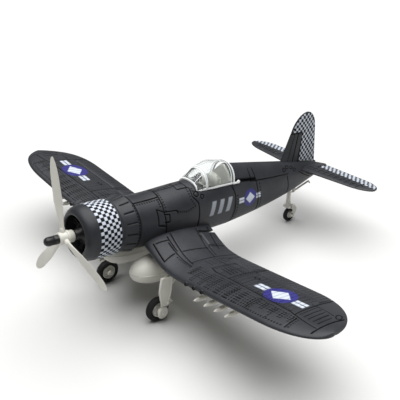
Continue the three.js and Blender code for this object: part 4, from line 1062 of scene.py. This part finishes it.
windscreen = glass(CANOPY["front"] + 0.2, CANOPY["split"] - 0.25)
piece("windscreen_glass", windscreen, clear, "windscreen")
piece("windscreen_frame", windscreen_frame(), glint_edges)
hood = glass(CANOPY["split"] + 0.25, CANOPY["rear"] - 0.1)
piece("hood_glass", hood, clear, "canopy_hood", "canopy")
piece("hood_frame", hood_frame(), glint_edges, body="canopy")


# ---------- Tail ----------
CHECK_SIZE = 1.85
ELEVATOR_CHECK = (2.3, 1.6)
RUDDER_CHECK = (CHECK_SIZE, CHECK_SIZE)


def tail_places(surface, low, high, step):
    """Places along a tail surface, closer together where its tip is round."""
    bend = surface["tip"] - 7
    if high <= bend:
        return steps_between(low, high, step)
    start = max(low, bend)
    towards_tip = high - (high - start) * np.linspace(1, 0, 34) ** 1.8
    if start == low:
        return towards_tip
    return np.concatenate([steps_between(low, start, step)[:-1], towards_tip])


def tail_values(surface, along):
    """Leading edge, trailing edge, thickness, the hinge's share of the chord and the half thickness there."""
    lead, trail, thick = (float(v) for v in tail_section(surface, along))
    share = max(0.0, (surface["hinge"] - lead) / (trail - lead))
    return lead, trail, thick, share, float(foil(share) * thick + TAIL_EDGE * share)


def tail_fixed(surface, stretches, at, marks):
    """Fixed part of the stabiliser or fin. stretches holds (low, high, whether it is cut at the hinge), and
    at turns (chordwise, half, along) into a point."""
    shape = Shape()
    for low, high, cut in stretches:
        rings, painted_shade_and_black_rows = [], []
        for along in tail_places(surface, low, high, 0.4):
            along = float(along)
            lead, trail, thick, _, radius = tail_values(surface, along)
            room = 0.35 + 0.6 * max(0.25, radius)
            end = max(0.03, (surface["hinge"] - room - lead) / (trail - lead)) if cut else 1.0
            s = end * np.linspace(0, 1, 44) ** 1.3
            half = foil(s) * thick + TAIL_EDGE * s
            place = mix(lead, trail, s)
            # Recessed lines and rivets, darkened as painted shade.
            wash = strongest(place, np.full_like(place, along), marks)
            half = half - 0.18 * wash * unit(s * 40)
            upper, lower = np.column_stack([place, half])[::-1], np.column_stack([place, -half])[1:]
            flat = np.concatenate([upper, lower])
            rings.append([at(c, h, along) for c, h in flat])
            painted_shade_and_black_rows.append(np.concatenate([wash[::-1], wash[1:]]))
        loft(shape, rings, wash=np.stack(painted_shade_and_black_rows))
    return shape


def tail_moving(surface, low, high, at, check, whole=False, front=None):
    """A hinged tail surface with a round nose, or the whole section where nothing is ahead of it. check gives
    the squares' chordwise and spanwise size, and front where a foot cut back along the spine starts."""
    rings, whites, painted_shade_and_black_rows = [], [], []
    for along in tail_places(surface, low, high, 0.3):
        along = float(along)
        lead, trail, thick, share, radius = tail_values(surface, along)
        start = front(along) if front else lead
        rounded = False
        if whole or share < 0.04:
            s = np.linspace(0, 1, 48) ** 1.3
        elif start > surface["hinge"]:
            s = np.linspace((start - lead) / (trail - lead), 1, 48)
        else:
            s = np.linspace(min(share + 0.01, 0.97), 1, 48)
            rounded = True
        half = foil(s) * thick + TAIL_EDGE * s
        place = mix(lead, trail, s)
        upper, lower = np.column_stack([place, half])[::-1], np.column_stack([place, -half])
        if rounded:
            angle, radius = np.radians(np.linspace(98, 262, 9)), max(0.12, radius - 0.04)
            nose = np.column_stack([surface["hinge"] + radius * np.cos(angle), radius * np.sin(angle)])
        else:
            nose = np.column_stack([np.full(9, place[0] - 0.01), np.linspace(half[0], -half[0], 11)[1:-1]])
        flat = np.concatenate([upper, nose, lower])
        rings.append([at(c, h, along) for c, h in flat])
        squares = checks((flat[:, 0] - surface["hinge"] + 0.02) / check[0], along / check[1], 1)
        first = lead + 1.0 if surface is FIN else surface["hinge"] + 0.4
        inside = (flat[:, 0] > first) & (flat[:, 0] < trail - 0.5) & (np.abs(surface["tip"] - along) > 0.9)
        whites.append(squares * inside)
        # The dark check squares are black print.
        painted_shade_and_black_rows.append(0.75 * (1 - squares) * inside)
    return loft(Shape(), rings, white=np.stack(whites), wash=np.stack(painted_shade_and_black_rows))


def on_stabiliser(chordwise, half, along):
    return (along, chordwise, STAB["level"] + half)


def on_fin(chordwise, half, along):
    return (half, chordwise, along)


STAB_MARKS = (
    [(rivets, (188.4 + 0.08 * k, 6 + 4.2 * k), (194.4, 6 + 4.2 * k), 1.2) for k in range(10)]
    + [(seam, (190.4, 6), (193.0, 44)), (seam, (193.4, 46), (197, 41))]
    + [(rivets, (187.0, 6), (191.4, 44), 1.3), (rivets, (194.6, 8), (194.8, 46), 1.2)]
)
FIN_MARKS = (
    [(seam, (170 + 6 * k, 8), (175 + 4.2 * k, 31.6)) for k in (1, 2)]
    + [(rivets, (169 + 5 * k, 9), (174.5 + 3.6 * k, 31), 1.4) for k in (0.4, 1.4, 2.4)]
    + [(seam, (173.5, 31.7), (184, 31.7))]
)
STAB_STRETCHES = [(2.6, 7.75, False), (7.8, STAB["tip"] - 0.25, True)]
fixed_stabiliser = tail_fixed(STAB, STAB_STRETCHES, on_stabiliser, STAB_MARKS)
both_sides("tailplane_left", fixed_stabiliser, navy, "stabilizer_left")
elevator = tail_moving(STAB, STAB["inner"] + CLEAR, STAB["tip"] - 0.02, on_stabiliser, ELEVATOR_CHECK)
both_sides("elevator_skin_left", elevator, navy, "elevator_left", "elevator_left")
fixed_fin = tail_fixed(FIN, [(8.0, FIN["notch"] - 0.35, True)], on_fin, FIN_MARKS)
piece("tail_fin", fixed_fin, navy, "fin")


def rudder_skin():
    """The rudder behind the fin, with its foot cut back along the spine, and the horn above the fin."""
    spine_y = np.linspace(FIN["hinge"], 204, 60)
    spine_z = np.array([station_values(y)[1] for y in spine_y])

    def front(z):
        return float(np.interp(-z + 0.5, -spine_z, spine_y))

    shape = tail_moving(FIN, 9.2, FIN["notch"] + 0.02, on_fin, RUDDER_CHECK, front=front)
    horn = tail_moving(FIN, FIN["notch"], FIN["tip"] - 0.02, on_fin, RUDDER_CHECK, whole=True)
    return shape.add(horn.points[0], horn.faces, **horn.fields[0])


piece("rudder_skin", rudder_skin(), navy, "rudder", "rudder")


# ---------- Nose ----------
CHECK_BAND = (23.9, 36.2)
CHECKS_ROUND = 52


def cowling_skin():
    """The turned cowling, its front lip rolled in, with the check band."""
    lip, radius, wall, bow = COWL["lip"], COWL["radius"], COWL["wall"], COWL["bow"]
    front, rear = COWL["front"], COWL["rear"]
    edge = lip + 0.6 * wall
    roll = np.radians(np.linspace(-60, 90, 12))
    rolled = [(edge - 0.6 * wall * math.cos(a), front + 0.75 * (1 - math.sin(a))) for a in roll]
    swell = np.radians(np.linspace(2, 90, 26))
    arc = [(edge + (radius - edge) * math.sin(a), front + bow * (1 - math.cos(a))) for a in swell]
    side = [(radius, y) for y in steps_between(front + bow + 0.3, rear - 0.3, 0.3)]
    back = [(radius - 0.2, rear), (radius - wall + 0.2, rear), (radius - wall, rear - 0.3)]
    inner = [
        (mix(lip + 0.7, radius - wall, t**0.5), mix(front + 1.6, rear - 6, t)) for t in np.linspace(1, 0, 14)
    ]
    outline = rolled + arc + side + back + inner + rolled[:1]
    shape = lathe(Shape(), outline, 312)
    points = shape.points[0]
    angle = np.arctan2(points[:, 0], points[:, 2])
    reach = np.hypot(points[:, 0], points[:, 2])
    band = (points[:, 1] > CHECK_BAND[0]) & (points[:, 1] < CHECK_BAND[1]) & (reach > radius - 0.5)
    around = angle / (2 * math.pi) * CHECKS_ROUND * CHECK_SIZE
    white = checks(points[:, 1] - CHECK_BAND[0] + 1e-6, around, CHECK_SIZE)
    # The dark check squares are black print.
    shape.fields[0] = {"white": white * band, "wash": 0.75 * (1 - white) * band}
    return shape


def cowl_flaps():
    """The flared ring behind the cowling, split into flaps."""
    front, rear, wall = FLARE["front"], FLARE["rear"], FLARE["wall"]
    radius = COWL["radius"] - 0.6
    outer = [(radius + FLARE["flare"] * t**1.4, mix(front, rear, t)) for t in np.linspace(0, 1, 22)]
    inner = [(r - wall, y) for r, y in outer[::-1]]
    outline = outer + inner
    outline.append(outline[0])
    shape = lathe(Shape(), outline, 288)
    points = shape.points[0]
    angle = np.arctan2(points[:, 0], points[:, 2]) * FLARE["count"] / (2 * math.pi)
    beside = np.abs(angle - np.round(angle)) * 2 * math.pi * radius / FLARE["count"]
    slit = unit(1.5 - beside / 0.28) * (points[:, 1] > front + 2.2)
    scale = 1 - 0.4 * slit / radius
    points[:, 0] *= scale
    points[:, 2] *= scale
    # The slits between the flaps are darkened as painted shade.
    shape.fields[0] = {"wash": slit}
    return shape


def engine():
    """Crankcase and nine finned cylinders with rocker boxes, pushrods and ignition leads."""
    shape = Shape()
    front, rear, core, row = ENGINE["front"], ENGINE["rear"], ENGINE["core"], ENGINE["row"]
    case = [(0, front + 0.2), (core - 1.2, front + 0.2), (core, front + 1.4), (core, rear), (0, rear)]
    lathe(shape, case, 48)
    for k in range(ENGINE["cylinders"]):
        turn = 2 * math.pi * k / ENGINE["cylinders"]
        out, beside = radial(turn)
        centre = np.array([0, row, 0])
        for foot in core - 0.3 + 0.66 * np.arange(9):
            fin = (centre + out * foot, centre + out * (foot + 0.36))
            rod(shape, *fin, ENGINE["bore"] + 0.18, sides=22, rounding=0.08)
        foot, head = centre + out * (core - 0.8), centre + out * ENGINE["ring"]
        rod(shape, foot, head, ENGINE["bore"] - 0.25, sides=18)
        for side in (-1, 1):
            box_at = centre + out * (ENGINE["ring"] - 0.6) + beside * side * 1.05
            rod(shape, box_at + (0, -2.3, 0), box_at + (0, 0.6, 0), 0.72, sides=14)
            foot = out * (core - 0.4) + beside * side * 0.9 + (0, front + 0.9, 0)
            rod(shape, foot, box_at + (0, -1.7, 0), 0.36, sides=10)
        lead, _ = radial(turn + math.pi / ENGINE["cylinders"])
        inner, outer = lead * (core - 0.6) + (0, front + 1.2, 0), lead * (core + 3.4) + (0, row - 1.2, 0)
        rod(shape, inner, outer, 0.28, sides=8)
    return shape


def gearbox():
    """The conical nose case with its bolts."""
    shape = Shape()
    cone = [(2.4, 16.9), (2.7, 17.3), (3.0, 18.8), (4.2, 20.3), (4.9, 21.0), (5.4, 21.2), (5.4, 22.1)]
    lathe(shape, [(0, 16.9), *cone, (0, 22.1)], 48)
    bolts = ENGINE["cylinders"]
    for k in range(bolts):
        place = 4.75 * radial(2 * math.pi * (k + 0.5) / bolts)[0]
        rod(shape, place + (0, 20.5, 0), place + (0, 21.6, 0), 0.42, sides=8)
    return shape


def blades():
    """Three twisted blades on their hub."""
    shape = Shape()
    angle = circle(40)
    for k in range(3):
        out, beside = radial(math.radians(BLADE["first"] + 120 * k))
        sections = []
        for t in np.linspace(0, 1, 92):
            radius = mix(BLADE["root"], BLADE["tip"], math.sin(t * math.pi / 2))
            share = radius / (BLADE["tip"] + 0.1)
            past = max(0, (share - 0.72) / (1.001 - 0.72))
            round_tip = math.sqrt(max(1 - past**2, 0.02))
            chord = mix(2.3, 7.0, min(1, (share / 0.45) ** 1.4)) * round_tip
            thick = mix(2.2, 0.75, min(1, 1.5 * share)) * mix(0.4, 1, round_tip)
            twist = math.radians(mix(16, 2, share))
            across = chord / 2 * np.cos(angle)
            through = thick / 2 * signed_power(np.sin(angle), 1.2) + 0.16 * (1 - np.cos(angle) ** 2) * share
            u = across * math.cos(twist) - through * math.sin(twist)
            v = PROPELLER_Y + across * math.sin(twist) + through * math.cos(twist)
            sections.append(np.outer(u, beside) + np.outer(v, (0, 1, 0)) + radius * out)
        loft(shape, sections)
        rod(shape, out * 2.0 + (0, PROPELLER_Y, 0), out * 5.4 + (0, PROPELLER_Y, 0), 1.55, 1.35)
    lathe(shape, [(0, 7.7), (2.9, 7.7), (3.2, 8.0), (3.2, 15.7), (2.9, 16.1), (0, 16.1)], 48)
    lathe(shape, [(0, 12.2), (3.5, 12.2), (3.6, 12.4), (3.6, 13.2), (3.5, 13.4), (0, 13.4)], 48)
    return shape


def spinner():
    """The bullet nose with two shallow rings."""
    outline = [(2.4 * math.sin(a) ** 0.9, 2.6 * (1 - math.cos(a))) for a in np.linspace(0, math.pi / 2, 18)]
    outline[0] = (0, 0.02)
    outline += [(2.4, 5.2), (2.3, 5.35), (2.4, 5.5), (2.4, 8.0), (2.2, 8.2), (0, 8.2)]
    return lathe(Shape(), outline, 48)


piece("cowling_skin", cowling_skin(), navy, "cowling", crease=50)
piece("cowl_flap_skin", cowl_flaps(), navy, "cowl_flap_ring")
piece("engine_detail", engine(), engine_grey, "radial_engine")
piece("gearbox_detail", gearbox(), gloss_black, "engine_gearbox")
piece("propeller_blades", blades(), ivory, "propeller", "propeller", 60)
piece("spinner_nose", spinner(), gloss_black, "spinner_cap", "propeller")


# ---------- Landing gear ----------
def tyre(wheel, rounding, grooved):
    """A tyre with a rounded tread and, on the main wheels, two shallow grooves round it."""
    radius, half, hub = wheel["radius"], wheel["width"] / 2, wheel["hub"]
    outline = []
    for t in np.linspace(-1, 1, 61):
        drop = rounding * (1 - (1 - abs(t) ** 2.6) ** 0.5)
        groove = 0.12 * unit(1.6 - abs(abs(t) - 0.22) / 0.03) if grooved else 0
        outline.append((radius - drop - groove, half * t))
    side = [(mix(radius - rounding, hub + 0.9, s), half * (1 - 0.10 * s)) for s in np.linspace(0.15, 1, 8)]
    outline += side + [(hub + 0.35, half * 0.8), (hub + 0.25, half * 0.6)]
    outline += [(hub + 0.25, -half * 0.6), (hub + 0.35, -half * 0.8)] + [(r, -x) for r, x in side[::-1]]
    outline.append(outline[0])
    return lathe(Shape(), outline, 96, (wheel["x"], wheel["y"], wheel["z"]), axis="x")


def hub(wheel, spokes):
    """A wheel disc with a raised rim, cap, and lightening dimples."""
    half, reach = wheel["width"] / 2, wheel["hub"]
    bore = AXLE_HOLES[wheel["hub"]]
    outer = [
        (bore, half * 0.85), (bore + 0.7, half * 0.9), (reach * 0.5, half * 0.55), (reach * 0.78, half * 0.5),
        (reach * 0.88, half * 0.9), (reach - 0.05, half * 0.92), (reach, half * 0.8),
    ]
    outline = outer + [(r, -x) for r, x in outer[::-1]]
    outline.append(outline[0])
    shape = lathe(Shape(), outline, 72, (wheel["x"], wheel["y"], wheel["z"]), axis="x")
    for side in (-1, 1):
        for k in range(spokes):
            turn = 2 * math.pi * k / spokes
            at = np.array([0, math.cos(turn), math.sin(turn)]) * reach * 0.64
            place = np.array([wheel["x"] + side * half * 0.5, wheel["y"], wheel["z"]]) + at
            inner, outer = place - (side * 0.3, 0, 0), place + (side * 0.22, 0, 0)
            rod(shape, inner, outer, reach * 0.085, sides=12, rounding=0.1)
    return shape


AXLE_HOLES = {WHEEL["hub"]: 1.15, TAIL_WHEEL["hub"]: 0.8}
both_sides("tyre_rubber_left", tyre(WHEEL, 1.9, True), rubber, "tyre_left", "wheel_left")
both_sides("hub_disc_left", hub(WHEEL, 8), ivory, "wheel_hub_left", "wheel_left")
piece("tail_tyre_rubber", tyre(TAIL_WHEEL, 1.2, False), rubber, "tail_tyre", "tail_wheel")
piece("tail_hub_disc", hub(TAIL_WHEEL, 6), ivory, "tail_hub", "tail_wheel")


def leg_strut():
    """Oleo strut with collar, scissor link, drag brace and axle eye."""
    shape = Shape()
    axle = np.array([LEG["x"], WHEEL["y"], WHEEL["z"]])
    top = np.array([LEG["x"], LEG["top_y"], LEG["top_z"] + 1.6])
    knee = mix(axle, np.array([LEG["x"], LEG["top_y"], LEG["top_z"]]), 0.45)
    elbow = axle + (0, 6.2, 5.0)
    rod(shape, knee, top, LEG["radius"], sides=24)
    rod(shape, axle + (0, 0, 1.2), knee + (0, 0, 0.4), LEG["radius"] * 0.76, sides=24)
    rod(shape, knee - (0, 0, 0.7), knee + (0, 0.06, 0.9), LEG["radius"] * 1.16, sides=24)
    rod(shape, axle + (0, 1.6, 0.8), elbow, 0.55, sides=14)
    rod(shape, elbow, knee + (0, 0.2, 0), 0.55, sides=14)
    rod(shape, elbow - (1.1, 0, 0), elbow + (1.1, 0, 0), 0.6, sides=14)
    brace_top = (LEG["x"], LEG["top_y"] + 11, LEG["top_z"] + 0.6)
    rod(shape, knee + (0, 0.4, 1.0), brace_top, 0.65, sides=14)
    eye = [(1.1, -0.9), (2.05, -0.9), (2.2, -0.7), (2.2, 0.7), (2.05, 0.9), (1.1, 0.9), (1.1, -0.9)]
    return lathe(shape, eye, 40, axle, axis="x")


def door_plate():
    """The broad rounded door outboard of the leg, with a raised edge."""
    shape = Shape()
    centre_y, top = LEG["top_y"] - 3.4, LEG["top_z"] - 1.4

    def outline(inset):
        left, right, foot = -4.1 + inset, 4.0 - inset, 17.6 - inset
        bulge = [(mix(right + 0.1, 1.4, t**1.2), mix(8.5, foot, math.sin(t * math.pi / 2)))
                 for t in np.linspace(0.1, 1, 9)]
        sweep = [(mix(-1.9, left - 0.1, t**0.9), mix(foot, 8.0, t)) for t in np.linspace(0, 1, 9)]
        return [(left + 0.6, inset), (right, inset), (right + 0.15, 8.0), *bulge, *sweep]

    def ring(inset, x):
        return [(x, centre_y + u, top - v) for u, v in outline(inset)]

    base = LEG["x"] + LEG["radius"] + CLEAR + 0.1
    stack = ((0.3, 0), (0.0, 0.25), (0.0, 1.05), (0.25, 1.3), (0.9, 1.3), (1.1, 1.05))
    loft(shape, [ring(inset, base + depth) for inset, depth in stack])
    for v in (3.2, 11.4):
        y, z = centre_y + 0.4, top - v
        rod(shape, (base - 0.5, y, z), (base + 0.4, y, z), 0.8, sides=16)
    return shape


def main_axle():
    """The axle from its head outside the wheel to the flanged cap in the leg."""
    seat_x = LEG["x"] + 0.9 + CLEAR
    head_x = WHEEL["x"] - WHEEL["width"] / 2 - CLEAR
    head = ((0, -1.3), (1.2, -1.3), (1.6, -0.3), (1.5, 0), (0.8, 0))
    cap = (
        (0.8, 0), (3.3, 0), (3.4, 0.15), (3.4, 0.6), (3.0, 0.95), (2.3, 1.05), (2.1, 0.9), (0.9, 0.9),
        (0.7, 1.1), (0, 1.1),
    )
    outline = [(r, head_x + x) for r, x in head] + [(r, seat_x + x) for r, x in cap]
    return lathe(Shape(), outline, 48, (0, WHEEL["y"], WHEEL["z"]), axis="x")


def tail_strut():
    """Post, crown and two bowed arms that reach behind the wheel to its axle."""
    shape = Shape()
    y, z = TAIL_WHEEL["y"], TAIL_WHEEL["z"]
    arm, over = TAIL_WHEEL["width"] / 2 + 0.35, z + TAIL_WHEEL["radius"]
    rod(shape, (0, 180.4, over + 1), (0, 179.2, -2.5), 1.4, 1.25, 28)
    rod(shape, (0, 180.2, over + 4.2), (0, 180.1, over + 5.4), 1.65, sides=28)
    slab(shape, (-arm - 0.9, arm + 0.9), (178.6, 182.4), (over + 0.5, over + 2.4), 0.45)
    path = np.array([[180.8, over + 2.2, 1.7], [185.2, over - 0.6, 1.8], [185.7, z + 2, 1.6], [y, z, 1.6]])
    along = np.linspace(0, 1, 31)
    back = 1 - along
    weights = np.stack([back**3, 3 * along * back**2, 3 * along**2 * back, along**3], -1)
    pull = np.array([path[0], path[1] * 1.25 - path[3] * 0.25, path[2] + (path[2] - path[3]) * 0.35, path[3]])
    curve = weights @ pull
    heading = np.gradient(curve[:, :2], axis=0)
    heading /= np.linalg.norm(heading, axis=1, keepdims=True)
    for side in (-1, 1):
        inner, outer = side * arm, side * (arm + 0.9)
        rings = []
        for (cy, cz, r), (hy, hz) in zip(curve, heading, strict=True):
            edge = [(inner, r - 0.2), *((mix(inner, outer, t), r) for t in (0.25, 0.75)), (outer, r - 0.2)]
            edge += [(px, -w) for px, w in edge[::-1]]
            rings.append([(px, cy - hz * w, cz + hy * w) for px, w in edge])
        loft(shape, rings)
        low, high = sorted((inner, outer))
        eye = [(0.62, low), (1.5, low), (1.6, low + 0.15), (1.6, high - 0.15), (1.5, high), (0.62, high)]
        lathe(shape, eye + eye[:1], 28, (0, y, z), axis="x")
    return shape


def tail_pin():
    """The tail wheel's axle with a head at both ends."""
    half = TAIL_WHEEL["width"] / 2 + 1.25 + CLEAR
    head = [(0.5, half), (1.0, half), (1.0, half + 0.5), (0.85, half + 0.7), (0, half + 0.7)]
    outline = [(r, -x) for r, x in head[::-1]] + head
    return lathe(Shape(), outline, 24, (0, TAIL_WHEEL["y"], TAIL_WHEEL["z"]), axis="x")


def hook():
    """The slender arrestor hook and its pivot peg."""
    shape = Shape()
    start, end = np.array([0, 182.4, -10.0]), np.array([0, 198.0, -5.0])
    rod(shape, start, end, 0.6, sides=16)
    rod(shape, end, end + (0, 2.2, -1.8), 0.72, 0.42, sides=16)
    rod(shape, (0, 184.0, -10.2), (0, 184.0, -5.5), 0.95, sides=20)
    return shape


both_sides("oleo_strut_left", leg_strut(), ivory, "gear_leg_left")
both_sides("door_plate_left", door_plate(), ivory, "gear_door_left")
both_sides("axle_cap_left", main_axle(), ivory, "main_axle_left")
piece("tail_strut", tail_strut(), ivory, "tail_leg")
piece("tail_pin", tail_pin(), ivory, "tail_axle")
piece("hook_bar", hook(), ivory, "arrestor_hook")


# ---------- Stores ----------
def post(shape, x, y, half, levels, count):
    """A flat upright post with rounded ends, through levels of (height, reach fore and aft)."""
    turn = circle(count)
    across, fore = half * np.sin(turn), signed_power(np.cos(turn), 0.7)
    return loft(shape, [
        np.stack([x + across, y + reach * fore, np.full(count, z)], -1) for z, reach in levels
    ])


def tank_radius(along):
    """The drop tank's radius from -1 at its blunt nose to 1 at its pointed tail."""
    taper, fullness = (1.25, 0.85) if along > 0 else (2.8, 0.5)
    return TANK["radius"] * max(1 - abs(along) ** taper, 0) ** fullness


def fuel_tank():
    """The drop tank with a dark line along its seam, a rib along each side and the post that holds it."""
    shape = Shape()
    x, y, z, radius, half = TANK["x"], TANK["y"], TANK["z"], TANK["radius"], TANK["length"] / 2
    outline = [(tank_radius(along), y + half * along) for along in -np.cos(np.linspace(0, math.pi, 70))]
    lathe(shape, outline, 96, (x, 0, z))
    shape.fields[0] = {"wash": 0.25 * unit(1.5 - np.abs(shape.points[0][:, 2] - z) / 0.3)}
    rib = ((-0.5, -0.3), (0.22, -0.3), (0.34, 0), (0.22, 0.3), (-0.5, 0.3))
    for side in (-1, 1):
        loft(shape, [
            [(x + side * (tank_radius(along) + dx), y + half * along, z + dz) for dx, dz in rib]
            for along in np.linspace(-0.9, 0.94, 60)
        ])
    top = z + radius
    return post(shape, x, 65.5, 1.2, ((top - 1.5, 5.6), (top - 0.1, 5.8), (-15.1, 5.5)), 36)


def rocket(index):
    """A rocket with a pointed nose, bands, four fins and two flat posts up to the wing."""
    shape = Shape()
    x = ROCKET["first"] + index * ROCKET["pitch"]
    y, length, radius = ROCKET["nose"], ROCKET["length"], ROCKET["radius"]
    z = float(wing_level(x)) - ROCKET["drop"]
    rear = y + length
    outline = [(radius * math.sin(t * math.pi / 2) ** 0.8, y + 5.2 * t) for t in np.linspace(0, 1, 14)]
    band = ((0, 0), (0.16, 0.1), (0.16, 0.9), (0, 1.0))
    for start in (y + 7, y + 16):
        outline += [(radius + rise, start + step) for rise, step in band]
    outline += [(radius, rear - 1.2), (radius * 0.8, rear - 0.3), (radius * 0.5, rear), (0, rear)]
    lathe(shape, outline, 28, (x, 0, z))
    fin = ((0.6, 5.6, 0.8), (radius + 1.5, 4.0, 0.8), (radius + 1.8, 3.6, 1.0))
    for k in range(4):
        out, beside = radial(math.radians(45 + 90 * k))
        rings = []
        for reach, ahead, behind in fin:
            centre = np.array([x, 0, z]) + out * reach
            corners = ((-1, ahead), (1, ahead), (1, behind), (-1, behind))
            rings.append([centre + beside * side * 0.24 + (0, rear - before, 0) for side, before in corners])
        loft(shape, rings)
    top = float(wing_level(x)) - 1.8
    for post_y in (57, 70):
        post(shape, x, post_y, 0.42, ((z + 0.6, 1.3), (top, 1.3)), 24)
    return shape


both_sides("fuel_tank_left", fuel_tank(), ivory, "drop_tank_left")
for index in range(ROCKET["count"]):
    both_sides(f"rocket_body_left_{index + 1}", rocket(index), ivory, f"rocket_left_{index + 1}")

# ---------- CAD nodes that are shown as they are ----------
BLACK_NODES = ("firewall", "propeller_shaft", "shaft_collar")
for name, node in frame["nodes"].items():
    if name not in replaced:
        node.data.materials.clear()
        node.data.materials.append(gloss_black if name in BLACK_NODES else navy)

# ---------- Floor, light and camera ----------
PAPER = (0.58, 0.58, 0.573, 1)
FLOOR_SIZE, FLOOR_DROP = 6, 0.0004
FILL_LIGHT = 0.09
floor_material = bpy.data.materials.new("floor")
floor_material.use_nodes = True
paper = floor_material.node_tree.nodes["Principled BSDF"]
paper.inputs["Base Color"].default_value = PAPER
paper.inputs["Roughness"].default_value = 0.75
bpy.ops.mesh.primitive_plane_add(size=FLOOR_SIZE, location=(0, 0, cad_low[2] - FLOOR_DROP))
floor = bpy.context.object
floor.name = "floor"
floor.data.materials.append(floor_material)
floor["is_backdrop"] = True

world = bpy.data.worlds.new("studio")
bpy.context.scene.world = world
world.use_nodes = True
sky_nodes, sky_links = world.node_tree.nodes, world.node_tree.links
sky = sky_nodes["Background"]
sky.inputs["Color"].default_value = (1, 1, 1, 1)
seen = sky_nodes.new("ShaderNodeLightPath")
level = sky_nodes.new("ShaderNodeMapRange")
level.inputs["To Min"].default_value, level.inputs["To Max"].default_value = FILL_LIGHT, 1.0
sky_links.new(seen.outputs["Is Camera Ray"], level.inputs["Value"])
sky_links.new(level.outputs["Result"], sky.inputs["Strength"])


# One broad sheet of light far overhead: its strength, and its softness, lean and bearing in degrees.
STRENGTH, SPREAD, TILT, BEARING = 5.4, 78, 8, 190
light = bpy.data.lights.new("top light", "SUN")
light.energy, light.angle = STRENGTH, math.radians(SPREAD)
lamp = bpy.data.objects.new("top light", light)
lamp.rotation_euler = (math.radians(TILT), 0, math.radians(BEARING))
bpy.context.scene.collection.objects.link(lamp)

# The camera stands where the fitted view puts it: angles and distance about a point on the thrust line.
AIM = np.array([0.0, 105.0, 0.0])
AZIMUTH, ELEVATION, ROLL = math.radians(47.04), math.radians(22.87), math.radians(5.35)
DISTANCE, LENS, SENSOR = 393.4, 60.2, 36.0
back = np.array([
    math.sin(AZIMUTH) * math.cos(ELEVATION), -math.cos(AZIMUTH) * math.cos(ELEVATION), math.sin(ELEVATION),
])
right = np.array([math.cos(AZIMUTH), math.sin(AZIMUTH), 0.0])
up = np.cross(back, right)
right, up = right * math.cos(ROLL) + up * math.sin(ROLL), up * math.cos(ROLL) - right * math.sin(ROLL)


def turned_to_row(direction):
    return (to_row(direction) - to_row(np.zeros(3))) / MM


camera_data = bpy.data.cameras.new("camera")
camera_data.lens, camera_data.sensor_width = LENS, SENSOR
camera_data.shift_x, camera_data.shift_y = -0.0137, 0.0026
camera_data.clip_start, camera_data.clip_end = 0.01, 20
camera = bpy.data.objects.new("camera", camera_data)
axes = [turned_to_row(v) for v in (right, up, back)]
placing = Matrix.Identity(4)
for column, axis in enumerate(axes):
    for row in range(3):
        placing[row][column] = axis[row]
for row, value in enumerate(to_row(AIM + back * DISTANCE)):
    placing[row][3] = value
camera.matrix_world = placing
bpy.context.scene.collection.objects.link(camera)
bpy.context.scene.camera = camera
bpy.context.scene.view_settings.view_transform = "Standard"
